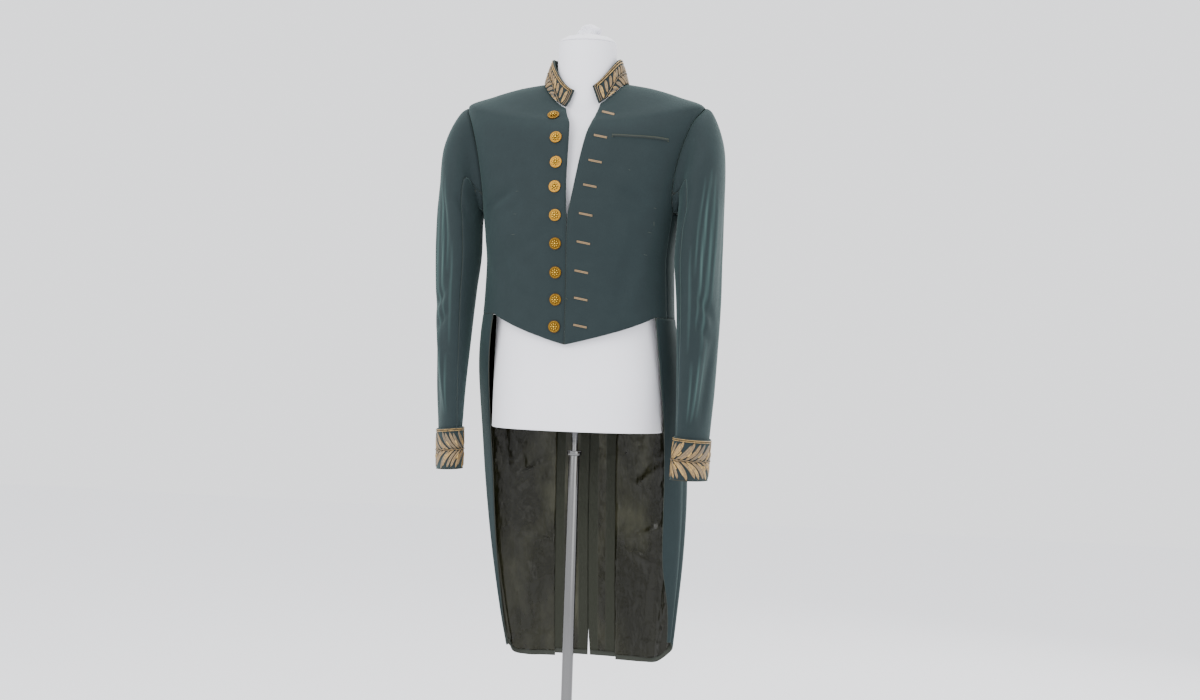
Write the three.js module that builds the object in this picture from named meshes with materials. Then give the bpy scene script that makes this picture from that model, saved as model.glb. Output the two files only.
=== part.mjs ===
// An academic tailcoat on a limbless dress form, in millimetres, +Z up, front towards -Y.
// The origin is the middle of the underside of the stand's round base.
import * as THREE from "three";

// ---- driving dimensions ----
const CLOTH = 2; // wall of the coat's wool cloth
const LINING = 1; // wall of the tails' lining
const SEAM = 0.1; // degrees round the body left at each side of a seam, about 0.15 mm to 0.3 mm
const SEAM_ROW = 0.012; // the same between levels, in rows of the table of sections
const CLEAR = 0.4; // clearance between layers that lie on each other
const LINING_GAP = 0.9; // air between the tails' cloth and their lining
const CORNER = { right: 20, left: 46 }; // radius of the tails' outer corners
const WAIST = 1072; // level of the waist seam
const FRONT_POINT = 1020; // lowest point of the fronts
const HEM = 431; // level of the tails' hem
const HEM_STEP = 5; // the side skirts end this much lower than the backs
const SIDE_SEAM = 74; // angle of the seam between front and side body, from the front centre
const COLLAR_WALL = 3;
const RELIEF = 1.6; // how far the embroidery stands proud
const BUTTON_RADIUS = 11;
const NECK_Y = 3; // the neck's middle stands this far behind the stand's axis
const FORM_BOTTOM = 869;
const ROD_RADIUS = 5.5;
const TUBE_RADIUS = 10;
const TUBE_WALL = 2;
const TUBE_TOP = 822;
const ROD_BOTTOM = 330;
const BASE_RADIUS = 190;
const BASE_THICK = 10;
const STEP_GAP = 0.3; // left between parts that rest on each other
const TAIL_INSET = 10; // the cloth shows this wide round the tails' lining
const SLEEVE_SEAM = 0.8; // degrees round the sleeve left at each side of its seams

// ---- tables of sections: angle 0 is the front centre, 90 the wearer's left side, 180 the back ----
const SECTION = ["zFront", "zSide", "zBack", "x", "y", "half", "front", "back", "power"];
// The outside of the coat from the tails' hem up to the neck seam.
const BODY = table(SECTION, [
  [430, 430, 430, 9, 132, 154, 16, 30, 2.0],
  [520, 520, 520, 8, 112, 166, 30, 46, 2.0],
  [640, 640, 640, 7, 92, 179, 52, 64, 2.0],
  [760, 760, 760, 5, 74, 187, 74, 80, 2.0],
  [870, 870, 870, 3, 50, 188, 100, 100, 2.05],
  [970, 970, 970, 1, 22, 186, 122, 118, 2.1],
  [1030, 1030, 1030, 0, 6, 180, 117, 120, 2.2],
  [1072, 1072, 1072, 0, 0, 174, 113, 118, 2.3],
  [1124, 1124, 1124, 0, 0, 171, 115, 116, 2.3],
  [1168, 1168, 1168, 0, 0, 169, 118, 118, 2.35],
  [1212, 1212, 1212, 0, 0, 173, 121, 122, 2.4],
  [1256, 1256, 1256, 0, 0, 179, 120, 124, 2.4],
  [1305, 1308, 1306, 0, 0, 188, 115, 126, 2.45],
  [1350, 1362, 1356, 0, 1, 199, 109, 124, 2.5],
  [1388, 1414, 1404, 0, 2, 211, 101, 119, 2.45],
  [1410, 1447, 1438, 0, 3, 217, 90, 110, 2.3],
  [1421, 1467, 1468, 0, 3, 170, 80, 100, 2.1],
  [1429, 1482, 1488, 0, 3, 120, 71, 86, 2.0],
  [1434, 1490, 1500, 0, 3, 75, 61, 69, 2.0],
]);
const WAIST_ROW = 7;
const ARMPIT_ROW = 11;
const SHOULDER_ROW = 15;
const NECK_ROW = 18;

// Half-angles of the armhole either side of the shoulder seam, between armpit and shoulder.
const ARMHOLE = table(["row", "front", "back"], [
  [11, 74, 118], [11.6, 67, 119], [12.5, 64.5, 118], [13.5, 66.5, 114], [14.3, 73, 106], [15, 90, 90],
]);
// The front edges: how far each stands to the side of the centre line.
const FRONT_EDGE = table(["row", "right", "left"], [
  [6, 1.2, 1.6], [9, 1.2, 1.6], [10.6, 0.6, 1.8], [11, -1, 3.5], [12, -3.5, 11], [13, -4, 18],
  [14, -5, 25], [15, -8, 31], [16.2, -15, 35], [18, -23, 38],
]);
// Front edges of the two side skirts, as a share of the section's half-width.
const SKIRT_EDGE = table(["z", "right", "left"], [
  [430, 0.985, 0.955], [470, 0.985, 0.95], [540, 0.97, 0.92], [620, 0.95, 0.84], [700, 0.92, 0.825],
  [780, 0.885, 0.835], [870, 0.86, 0.855], [970, 0.82, 0.86], [1072, 0.8, 0.88],
]);
// The pleats between side skirts and back, as distances from the centre back, and the line where
// the left tail laps over the right one.
const PLEAT = table(["z", "right", "left", "lap"], [
  [430, 62, 55, 3], [760, 68, 47, -5], [1030, 66, 46, -4], [1072, 62, 48, 0], [1124, 64, 60, 0],
  [1168, 78, 76, 0], [1212, 112, 112, 0], [1256, 161, 161, 0],
]);

// The dress form, from its bottom rim up to the neck.
const FORM = table(SECTION, [
  [869, 869, 869, 3, 0, 155, 103, 108, 2.15],
  [940, 940, 940, 3, 0, 155, 102, 108, 2.15],
  [1030, 1030, 1030, 2, 0, 153, 98, 106, 2.15],
  [1124, 1124, 1124, 1, 0, 151, 100, 102, 2.2],
  [1212, 1212, 1212, 0, 0, 156, 106, 108, 2.3],
  [1300, 1300, 1300, 0, 0, 163, 102, 110, 2.3],
  [1342, 1362, 1356, 0, 0, 160, 94, 106, 2.3],
  [1378, 1428.6, 1404, 0, 1, 148, 84, 98, 2.2],
  [1400, 1470.6, 1440, 0, 2, 116, 72, 88, 2.1],
  [1416, 1486.6, 1466, 0, 2, 80, 60, 68, 2.0],
  [1440, 1488, 1484, 0, 2, 57, 50, 56, 2.0],
  [1488, 1504, 1506, 0, 2, 53.5, 50, 53, 2.0],
  [1562, 1562, 1562, 0, 2, 52.5, 51, 52, 2.0],
]);

// The wearer's left sleeve, from the armhole to the wrist; the right one is its mirror image.
// tilt is the angle of the section's outer end above level, turn its twist about the arm.
const SLEEVE = table(["x", "y", "z", "span", "depth", "tilt", "turn"], [
  [203, 0, 1352, 93, 63, 79, 0],
  [209, -3, 1349, 84, 66, 70, 0],
  [214, -9, 1335, 66, 69, 54, 0],
  [219.5, -16, 1302, 47, 70, 34, 3],
  [220, -21, 1250, 40.6, 69, 16, 6],
  [219, -25, 1180, 40, 66, 6, 8],
  [222, -29, 1105, 36, 61, 1, 11],
  [223, -33, 1030, 32, 56, -3, 14],
  [223, -38, 950, 27, 51, -6, 18],
  [221.5, -42, 880, 22.5, 46, -6, 22],
  [220.5, -45, 850, 21, 45, -6, 23],
  [218.5, -49, 800, 20.5, 45, -4, 24],
  [218, -50, 792, 20.5, 45, -4, 24],
]);
const CUFF_ROWS = { top: 9.45, bottom: 11.9 };
const SLEEVE_END = 11.4; // the sleeve backs its cuff all the way down
const TOP_SLEEVE = { from: -112, to: 118 }; // angles of the top sleeve's seams, 0 at the outside

// The collar's seam line and its upper edge; the wall leans inwards as it rises. right and left are
// the angles of its two front ends.
const COLLAR = table(["zFront", "zSide", "zBack", "half", "front", "back", "right", "left"], [
  [1436, 1491, 1501.5, 76, 63, 71, -18.5, 28],
  [1447, 1506, 1517, 72, 61.5, 68, -14, 26],
  [1459, 1521, 1533, 67, 60, 65, -11, 24],
  [1470, 1535, 1548, 62, 59, 62, -8, 22],
]);

// ---- helpers ----
function table(columns, rows) {
  return rows.map((row) => Object.fromEntries(columns.map((name, i) => [name, row[i]])));
}
const rad = THREE.MathUtils.degToRad;
const { lerp, clamp } = THREE.MathUtils;
const bend = (v, power) => Math.sign(v) * Math.abs(v) ** power;

// Smooth values between the rows of a table, at a row number that needn't be whole.
function between(rows, at) {
  const t = clamp(at, 0, rows.length - 1);
  const i = Math.min(Math.floor(t), rows.length - 2);
  const f = t - i;
  const out = {};
  for (const key of Object.keys(rows[0])) {
    const b = rows[i][key];
    const c = rows[i + 1][key];
    const a = i > 0 ? rows[i - 1][key] : b;
    const d = i + 2 < rows.length ? rows[i + 2][key] : c;
    const m1 = (c - b) * (b - a) > 0 ? (c - a) / 2 : 0;
    const m2 = (d - c) * (c - b) > 0 ? (d - b) / 2 : 0;
    const f2 = f * f;
    const f3 = f2 * f;
    out[key] = (2 * f3 - 3 * f2 + 1) * b + (f3 - 2 * f2 + f) * m1 + (3 * f2 - 2 * f3) * c + (f3 - f2) * m2;
  }
  return out;
}
// The row number at which a column reaches a value.
function rowAt(rows, key, value) {
  const last = rows.length - 1;
  for (let i = 0; i < last; i++) {
    if ((rows[i][key] - value) * (rows[i + 1][key] - value) <= 0) {
      let low = i;
      let high = i + 1;
      const rising = rows[i + 1][key] > rows[i][key];
      for (let k = 0; k < 30; k++) {
        const middle = (low + high) / 2;
        if (between(rows, middle)[key] < value === rising) low = middle;
        else high = middle;
      }
      return (low + high) / 2;
    }
  }
  return (value - rows[0][key]) * (rows[last][key] - rows[0][key]) < 0 ? 0 : last;
}
const lookUp = (rows, key, value) => between(rows, rowAt(rows, key, value));
const levelRow = (z) => rowAt(BODY, "zSide", z);

// A point of a section table's surface.
function sectionPoint(rows, row, angle) {
  const s = between(rows, row);
  const sin = Math.sin(rad(angle));
  const cos = Math.cos(rad(angle));
  const end = cos > 0 ? s.zFront : s.zBack;
  const depth = cos > 0 ? s.front : s.back;
  return new THREE.Vector3(
    s.x + s.half * bend(sin, 2 / s.power),
    s.y - depth * bend(cos, 2 / s.power),
    lerp(s.zSide, end, cos * cos),
  );
}
// The angle at which a section reaches x; on the back where back is true.
function angleAt(row, x, back) {
  const s = between(BODY, row);
  const sin = clamp(bend((x - s.x) / s.half, s.power / 2), -1, 1);
  const angle = THREE.MathUtils.radToDeg(Math.asin(sin));
  return back ? 180 - angle : angle;
}

// A point of a surface and the surface's normal there, from a surface function of (row, angle).
function spot(surface, row, angle) {
  const step = 0.02;
  const up = surface(row + step, angle).sub(surface(row - step, angle));
  const across = surface(row, angle + step * 10).sub(surface(row, angle - step * 10));
  return { point: surface(row, angle), normal: across.cross(up).normalize() };
}
// A closed wall from a grid of spots. outer(i, j) and inner(i, j) say how far its two faces stand
// off the grid along the normals; loop joins the last column to the first.
function wallFromGrid(grid, outer, inner, loop = false) {
  const rows = grid.length;
  const columns = grid[0].length;
  const positions = [];
  for (const offset of [outer, inner]) {
    for (let i = 0; i < rows; i++) {
      for (let j = 0; j < columns; j++) {
        const p = grid[i][j].point.clone().addScaledVector(grid[i][j].normal, offset(i, j));
        positions.push(p.x, p.y, p.z);
      }
    }
  }
  const index = [];
  const id = (layer, i, j) => layer * rows * columns + i * columns + (j % columns);
  const quad = (a, b, c, d) => index.push(a, b, c, a, c, d);
  const spans = loop ? columns : columns - 1;
  for (let i = 0; i < rows - 1; i++) {
    for (let j = 0; j < spans; j++) {
      quad(id(0, i, j), id(0, i, j + 1), id(0, i + 1, j + 1), id(0, i + 1, j));
      quad(id(1, i, j), id(1, i + 1, j), id(1, i + 1, j + 1), id(1, i, j + 1));
    }
  }
  for (let j = 0; j < spans; j++) {
    quad(id(0, 0, j), id(1, 0, j), id(1, 0, j + 1), id(0, 0, j + 1));
    quad(id(0, rows - 1, j), id(0, rows - 1, j + 1), id(1, rows - 1, j + 1), id(1, rows - 1, j));
  }
  if (!loop) {
    const last = columns - 1;
    for (let i = 0; i < rows - 1; i++) {
      quad(id(0, i, 0), id(0, i + 1, 0), id(1, i + 1, 0), id(1, i, 0));
      quad(id(0, i, last), id(1, i, last), id(1, i + 1, last), id(0, i + 1, last));
    }
  }
  const geometry = new THREE.BufferGeometry();
  geometry.setAttribute("position", new THREE.Float32BufferAttribute(positions, 3));
  geometry.setIndex(index);
  return geometry;
}
const bodySurface = (row, angle) => sectionPoint(BODY, row, angle);

// A panel of the body surface. rowOf(i, u) gives the row of grid line i at share u of the panel's
// width from its front or outer edge, and angleOf(row, u) the angle there. The wall reaches from
// `from` to `thick` below it.
function bodyPanel(side, columns, rowOf, steps, angleOf, thick = CLOTH, from = 0) {
  const grid = [];
  for (let i = 0; i <= steps; i++) {
    const line = [];
    for (let j = 0; j <= columns; j++) {
      const u = (side > 0 ? j : columns - j) / columns;
      const row = rowOf(i, u);
      line.push(spot(bodySurface, row, side * angleOf(row, u)));
    }
    grid.push(line);
  }
  return wallFromGrid(grid, () => from, () => from - thick);
}

const material = (color, roughness, metalness = 0) =>
  new THREE.MeshStandardMaterial({ color, roughness, metalness });
const WOOL = material(0x2f4a4a, 0.85);
const SATIN = material(0x35352b, 0.4);
const BULLION = material(0x8a7350, 0.5);
const GOLD = material(0xd8aa50, 0.3, 1);
const CANVAS = material(0xe6e6ec, 0.8);
const CHROME = material(0xc8c8cc, 0.15, 1);

const coat = new THREE.Group();
function add(name, geometry, finish) {
  geometry.computeVertexNormals();
  const mesh = new THREE.Mesh(geometry, finish);
  mesh.name = name;
  coat.add(mesh);
  return mesh;
}
const word = (side) => (side > 0 ? "left" : "right");

// ---- seams, as angles from the front centre on either side of the body ----
function frontOuterAngle(row) {
  if (row <= ARMPIT_ROW) return SIDE_SEAM;
  if (row >= SHOULDER_ROW) return 90;
  return lookUp(ARMHOLE, "row", row).front;
}
function backOuterAngle(row, side) {
  if (row >= SHOULDER_ROW) return 90;
  if (row >= ARMPIT_ROW) return lookUp(ARMHOLE, "row", row).back;
  const pleat = lookUp(PLEAT, "z", between(BODY, row).zSide)[word(side)];
  const angle = backAngle(row, side * pleat, side);
  return lerp(angle, ARMHOLE[0].back, clamp(row - ARMPIT_ROW + 1, 0, 1) ** 4);
}
// The angle, on one side of the body, at which the back of a section reaches x.
function backAngle(row, x, side) {
  const angle = angleAt(row, x, true);
  return side > 0 ? angle : 360 - angle;
}
function centreBackAngle(row, side) {
  const z = Math.min(between(BODY, row).zSide, 1256);
  return backAngle(row, lookUp(PLEAT, "z", z).lap, side);
}
function skirtEdgeAngle(row, side) {
  const s = between(BODY, row);
  const share = lookUp(SKIRT_EDGE, "z", s.zSide)[word(side)];
  return THREE.MathUtils.radToDeg(Math.asin(share ** (s.power / 2)));
}
function frontEdgeAngle(row, side) {
  return side * angleAt(row, lookUp(FRONT_EDGE, "row", row)[word(side)], false);
}
// The rows that every panel uses between its own ends, so that panels that share a seam share its
// points: whole rows up to the armpit, half rows over the chest and shoulders.
const LEVELS = [];
for (let row = 1; row < ARMPIT_ROW; row++) LEVELS.push(row);
LEVELS.push(WAIST_ROW + 0.5);
for (let row = ARMPIT_ROW; row < NECK_ROW; row += 0.5) LEVELS.push(row);
LEVELS.sort((a, b) => a - b);
const levelsBetween = (low, high) => [low, ...LEVELS.filter((r) => r > low + 0.2 && r < high - 0.2), high];
// The same with a lower edge that changes along the panel: rows(u) of levels that end together.
function levelsAbove(lowAt, first, high) {
  const fixed = [...LEVELS.filter((r) => r >= first && r < high - 0.2), high];
  return { steps: fixed.length, rowOf: (i, u) => (i === 0 ? lowAt(u) : fixed[i - 1]) };
}

// ---- fronts: hem to neck, closure edge to side seam, armhole and shoulder seam ----
function addFront(side) {
  const columns = 7;
  const corner = 5; // the column where the front edge of the skirt meets the waist seam
  const low = WAIST_ROW + SEAM_ROW;
  const edge = frontEdgeAngle(low, side);
  const share = (skirtEdgeAngle(WAIST_ROW, side) - 0.5 - edge) / (SIDE_SEAM - edge);
  const width = (u) => {
    const j = u * columns;
    return j <= corner ? (share * j) / corner : lerp(share, 1, (j - corner) / (columns - corner));
  };
  const hem = (u) => {
    const along = Math.min(1, (u * columns) / corner);
    return Math.min(low, levelRow(lerp(FRONT_POINT, WAIST + 0.5, along)));
  };
  const { rowOf, steps } = levelsAbove(hem, WAIST_ROW + 0.5, NECK_ROW);
  const angleOf = (row, u) => lerp(frontEdgeAngle(row, side), frontOuterAngle(row) - SEAM, width(u));
  add(`front_${word(side)}`, bodyPanel(side, columns, rowOf, steps, angleOf), WOOL);
}
function addSideBody(side) {
  const rows = levelsBetween(WAIST_ROW + SEAM_ROW, ARMPIT_ROW - SEAM_ROW);
  const angleOf = (row, u) => lerp(SIDE_SEAM + SEAM, backOuterAngle(row, side) - SEAM, u);
  add(`side_body_${word(side)}`, bodyPanel(side, 4, (i) => rows[i], rows.length - 1, angleOf), WOOL);
}
// The back runs from the neck down into its tail.
function addBack(side) {
  const rows = levelsBetween(levelRow(HEM + HEM_STEP), NECK_ROW);
  const angleOf = (row, u) => {
    return lerp(backOuterAngle(row, side) + SEAM, centreBackAngle(row, side) - SEAM, u);
  };
  add(`back_${word(side)}`, bodyPanel(side, 5, (i) => rows[i], rows.length - 1, angleOf), WOOL);
}

// ---- side skirts: waist seam to hem, front edge to pleat, with the front corner rounded off ----
function cornerRise(side, angle) {
  const radius = CORNER[word(side)];
  if (angle <= 90) return radius;
  const past = clamp((BODY[0].half * (1 - Math.sin(rad(angle)))) / radius, 0, 1);
  return radius * (1 - Math.sqrt(1 - (1 - past) ** 2));
}
function skirtRows(side, low, high) {
  const bottom = levelRow(low);
  const edge = skirtEdgeAngle(bottom, side);
  const rear = backOuterAngle(bottom, side);
  return levelsAbove((u) => levelRow(low + cornerRise(side, lerp(edge, rear, u))), 1, high);
}
function addSkirt(side) {
  const { rowOf, steps } = skirtRows(side, HEM, WAIST_ROW - SEAM_ROW);
  const angleOf = (row, u) => {
    return lerp(skirtEdgeAngle(row, side), backOuterAngle(row, side) - SEAM, u);
  };
  add(`skirt_${word(side)}`, bodyPanel(side, 12, rowOf, steps, angleOf), WOOL);
}
const LINING_TOP = WAIST_ROW - 0.12;
function addSkirtLining(side) {
  const { rowOf, steps } = skirtRows(side, HEM + TAIL_INSET, LINING_TOP);
  const angleOf = (row, u) => {
    return lerp(skirtEdgeAngle(row, side) + 1.5, backOuterAngle(row, side) - 0.5, u);
  };
  const wall = bodyPanel(side, 12, rowOf, steps, angleOf, LINING, -CLOTH - LINING_GAP);
  add(`skirt_lining_${word(side)}`, wall, SATIN);
}
function addBackLining(side) {
  const rows = levelsBetween(levelRow(HEM + HEM_STEP + TAIL_INSET), LINING_TOP);
  const angleOf = (row, u) => {
    return lerp(backOuterAngle(row, side) + 0.5, centreBackAngle(row, side) - 0.4, u);
  };
  const wall = bodyPanel(
    side, 4, (i) => rows[i], rows.length - 1, angleOf, LINING, -CLOTH - LINING_GAP,
  );
  add(`back_lining_${word(side)}`, wall, SATIN);
}

// ---- sleeves: a top and an under sleeve round the same tube ----
const UNDERARM = { from: 150, middle: 96 }; // from this angle the edge runs along the side body's top
const SEWN_ROWS = 2.4; // rows over which the sleeve's head takes the armhole's outline
const HEAD = { gap: 0.45, rise: 9, drop: 1.5 }; // how far the head stands off the armhole
// The armhole's edge at an angle of the sleeve's section: 0 at the shoulder point, 180 at the armpit.
function armholePoint(side, angle) {
  const a = ((((angle + 180) % 360) + 360) % 360) - 180;
  const spread = Math.abs(a);
  let row = ARMPIT_ROW - SEAM_ROW;
  let round;
  if (spread < UNDERARM.from) {
    const rise = (1 + Math.cos(rad((a * 180) / UNDERARM.from))) / 2;
    row = Math.min(lerp(ARMPIT_ROW, SHOULDER_ROW, rise), SHOULDER_ROW - 0.001);
    round = a < 0 ? frontOuterAngle(row) : backOuterAngle(row, side);
  } else {
    const past = (spread - UNDERARM.from) / (180 - UNDERARM.from);
    round = lerp(a < 0 ? SIDE_SEAM : ARMHOLE[0].back, UNDERARM.middle, past);
  }
  return sectionPoint(BODY, row, side * round);
}
function sleevePoint(side, row, angle, out = 0) {
  const s = between(SLEEVE, row);
  const a = rad(angle);
  const u = (s.span + out) * Math.cos(a);
  const w = (s.depth + out) * Math.sin(a);
  const turn = rad(s.turn);
  const across = u * Math.cos(turn) + w * Math.sin(turn);
  const along = w * Math.cos(turn) - u * Math.sin(turn);
  const tilt = rad(s.tilt);
  const tube = new THREE.Vector3(
    side * (s.x + across * Math.cos(tilt)),
    s.y + along,
    s.z + across * Math.sin(tilt),
  );
  const sewn = clamp(1 - row / SEWN_ROWS, 0, 1);
  if (sewn === 0) return tube;
  const edge = armholePoint(side, angle);
  edge.x += side * (HEAD.gap + HEAD.rise * clamp(row, 0, 1));
  edge.z += HEAD.drop * Math.max(0, -Math.cos(a)); // the sleeve clears the top of the side body
  return tube.lerp(edge, sewn * sewn * (3 - 2 * sewn));
}
const SLEEVE_ROWS = [SLEEVE_END, 11, 10, 9, 8, 7, 6, 5, 4, 3.2, 2.4, 1.8, 1.2, 0.6, 0.02];
function addSleevePiece(side, name, from, to, columns) {
  const surface = (row, angle) => sleevePoint(side, -row, side * angle);
  const first = side > 0 ? from : -to;
  const last = side > 0 ? to : -from;
  const grid = SLEEVE_ROWS.map((row) => {
    const line = [];
    for (let j = 0; j <= columns; j++) line.push(spot(surface, -row, lerp(first, last, j / columns)));
    return line;
  });
  add(`${name}_${word(side)}`, wallFromGrid(grid, () => 0, () => -CLOTH), WOOL);
}

// ---- embroidered leaves: slanting padded leaves either side of a stem, under a cord border ----
// Shares of the band's height, each with what stands there.
const LEAF_ROWS = table(["share", "motif"], [
  [0, "edge"], [0.06, "leaf"], [0.3, "leaf"], [0.46, "stem"], [0.56, "stem"], [0.8, "gap"], [0.9, "cord"],
  [1, "edge"],
]);
const LEAF_VALLEY = 0.2;
function leafRelief(column, motif) {
  if (motif === "edge") return 0;
  if (motif === "gap") return LEAF_VALLEY;
  if (motif === "leaf") return column % 2 ? RELIEF : LEAF_VALLEY;
  return RELIEF;
}
// How far a leaf leans along the band, from the stem outwards.
const leafSlant = (share) => Math.abs(clamp(share, 0, 0.8) - 0.5);

function addCuff(side) {
  const columns = 32;
  const slant = 44; // degrees round the cuff
  const inside = -1.25; // the cuff's plain inner face, lying on the sleeve
  const surface = (row, angle) => sleevePoint(side, -row, side * angle, CLOTH + CLEAR);
  const grid = LEAF_ROWS.map(({ share }) => {
    const line = [];
    for (let j = 0; j < columns; j++) {
      const angle = (j * 360) / columns + slant * leafSlant(share);
      const row = lerp(CUFF_ROWS.bottom, CUFF_ROWS.top, share);
      line.push(spot(surface, -row, angle));
    }
    return line;
  });
  const outer = (i, j) => 1 + leafRelief(j, LEAF_ROWS[i].motif);
  add(`cuff_${word(side)}`, wallFromGrid(grid, outer, () => inside, true), BULLION);
}
function collarPoint(row, angle) {
  const s = between(COLLAR, row);
  const cos = Math.cos(rad(angle));
  return new THREE.Vector3(
    s.half * Math.sin(rad(angle)),
    NECK_Y - (cos > 0 ? s.front : s.back) * cos,
    lerp(s.zSide, cos > 0 ? s.zFront : s.zBack, cos * cos),
  );
}
function addCollar() {
  const columns = 38;
  const slant = 0.035; // shares of the collar's length, towards its ends
  const grid = LEAF_ROWS.map(({ share }) => {
    const row = share * (COLLAR.length - 1);
    const s = between(COLLAR, row);
    const line = [];
    for (let j = 0; j <= columns; j++) {
      const u = j / columns;
      const fade = Math.sin(Math.PI * u) ** 0.4;
      const slip = (u < 0.5 ? -slant : slant) * leafSlant(share) * fade;
      line.push(spot(collarPoint, row, lerp(s.left, 360 + s.right, u + slip)));
    }
    return line;
  });
  const outer = (i, j) => (j === 0 || j === columns ? 0 : leafRelief(j, LEAF_ROWS[i].motif));
  add("collar", wallFromGrid(grid, outer, () => -COLLAR_WALL), BULLION);
}

// ---- breast pocket welt on the wearer's left front ----
const WELT = { inner: { z: 1386, angle: 15 }, outer: { z: 1369, angle: 54 }, halfRows: 0.06, thick: 0.8 };
function addPocket() {
  const { inner, outer, halfRows, thick } = WELT;
  const rowOf = (i, u) => levelRow(lerp(inner.z, outer.z, u)) + lerp(-halfRows, halfRows, i);
  const angleOf = (row, u) => lerp(inner.angle, outer.angle, u);
  add("pocket_welt", bodyPanel(1, 6, rowOf, 1, angleOf, thick, CLEAR + thick), WOOL);
}

// ---- buttons: a domed metal shell with a rim, lying on the right front near its edge ----
const BUTTONS = table(["level", "fromEdge"], [
  [1421, 26], [1381, 23], [1337, 20], [1294, 20], [1244, 20], [1195, 19], [1145, 18], [1098, 17],
  [1051, 18],
]);
// Shares of the radius, and heights above the cloth.
const BUTTON_PROFILE = table(["share", "height"], [
  [0, 0.25], [0.62, 0.25], [0.94, 1.2], [1, 2.2], [0.91, 3], [0.78, 2.7], [0.45, 4.3], [0, 5],
]);
function addButtons() {
  const front = coat.getObjectByName("front_right");
  const ray = new THREE.Raycaster();
  BUTTONS.forEach(({ level, fromEdge }, k) => {
    const row = rowAt(BODY, "zFront", level);
    const angle = angleAt(row, lookUp(FRONT_EDGE, "row", row).right - fromEdge, false);
    const { point, normal } = spot(bodySurface, row, angle);
    const profile = BUTTON_PROFILE.map((p) => new THREE.Vector2(p.share * BUTTON_RADIUS, p.height));
    const mesh = add(`button_${k + 1}`, new THREE.LatheGeometry(profile, 12), GOLD);
    ray.set(point.clone().addScaledVector(normal, 20), normal.clone().negate());
    const [seat] = ray.intersectObject(front); // the flat face of the cloth that it is sewn to
    mesh.position.copy(seat.point);
    mesh.quaternion.setFromUnitVectors(new THREE.Vector3(0, 1, 0), seat.face.normal);
  });
}

// ---- dress form and stand ----
function closedSolid(rows, columns, steps) {
  const positions = [];
  for (let i = 0; i <= steps; i++) {
    for (let j = 0; j < columns; j++) {
      const p = sectionPoint(rows, ((rows.length - 1) * i) / steps, (j * 360) / columns);
      positions.push(p.x, p.y, p.z);
    }
  }
  const bottom = positions.length / 3;
  const first = rows[0];
  const last = rows[rows.length - 1];
  positions.push(first.x, first.y, first.zSide, last.x, last.y, last.zSide);
  const index = [];
  for (let j = 0; j < columns; j++) {
    const k = (j + 1) % columns;
    for (let i = 0; i < steps; i++) {
      const a = i * columns;
      const b = a + columns;
      index.push(a + j, a + k, b + k, a + j, b + k, b + j);
    }
    index.push(bottom, k, j, bottom + 1, steps * columns + j, steps * columns + k);
  }
  const geometry = new THREE.BufferGeometry();
  geometry.setAttribute("position", new THREE.Float32BufferAttribute(positions, 3));
  geometry.setIndex(index);
  return geometry;
}
function turned(name, profile, finish, sides = 28) {
  const points = profile.map(([r, z]) => new THREE.Vector2(r, z));
  const mesh = add(name, new THREE.LatheGeometry(points, sides), finish);
  mesh.rotation.x = Math.PI / 2;
  return mesh;
}
// The cloth gathered over the neck and tied in a knot: radii and heights.
const CAP = [[0, 0], [51, 0], [52, 3], [44, 9], [26, 12], [19, 18], [21, 26], [14, 32], [0, 33]];
function addForm() {
  add("form_torso", closedSolid(FORM, 24, 24), CANVAS);
  const neck = FORM[FORM.length - 1];
  const cap = turned("neck_cap", CAP, CANVAS, 20);
  cap.position.set(neck.x, neck.y, neck.zSide + STEP_GAP);
}
const CLAMP = { bore: ROD_RADIUS + 0.5, radius: TUBE_RADIUS + 3, height: 8, taper: 2 };
const PLUG = 12; // the tube is closed over this length at its foot
const BASE_EDGE = 4; // the base's upper rim is bevelled over this width
function addStand() {
  const rodTop = FORM_BOTTOM - STEP_GAP;
  turned("rod", [[0, ROD_BOTTOM], [ROD_RADIUS, ROD_BOTTOM], [ROD_RADIUS, rodTop], [0, rodTop]], CHROME, 20);
  const { bore, radius, height, taper } = CLAMP;
  const clampFoot = TUBE_TOP + STEP_GAP;
  turned("clamp_collar", [
    [bore, clampFoot], [radius - taper, clampFoot], [radius, clampFoot + height - taper],
    [radius, clampFoot + height], [bore, clampFoot + height], [bore, clampFoot],
  ], CHROME);
  const foot = BASE_THICK + STEP_GAP;
  const tubeBore = TUBE_RADIUS - TUBE_WALL;
  turned("tube", [
    [0, foot], [TUBE_RADIUS, foot], [TUBE_RADIUS, TUBE_TOP], [tubeBore, TUBE_TOP], [tubeBore, foot + PLUG],
    [0, foot + PLUG],
  ], CHROME);
  turned("base", [
    [0, 0], [BASE_RADIUS, 0], [BASE_RADIUS, BASE_THICK - BASE_EDGE], [BASE_RADIUS - BASE_EDGE, BASE_THICK],
    [0, BASE_THICK],
  ], CHROME, 40);
}

for (const side of [-1, 1]) {
  addFront(side);
  addSideBody(side);
  addBack(side);
  addSkirt(side);
  addSkirtLining(side);
  addBackLining(side);
  addSleevePiece(side, "top_sleeve", TOP_SLEEVE.from + SLEEVE_SEAM, TOP_SLEEVE.to - SLEEVE_SEAM, 8);
  const under = 360 + TOP_SLEEVE.from - SLEEVE_SEAM;
  addSleevePiece(side, "under_sleeve", TOP_SLEEVE.to + SLEEVE_SEAM, under, 4);
  addCuff(side);
}
addCollar();
addPocket();
addButtons();
addForm();
addStand();

export default coat;
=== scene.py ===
"""An academic tailcoat on a limbless dress form, dressed over its CAD solids."""

import math

import bmesh
import bpy
import numpy as np
from mathutils import Matrix, Vector

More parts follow.
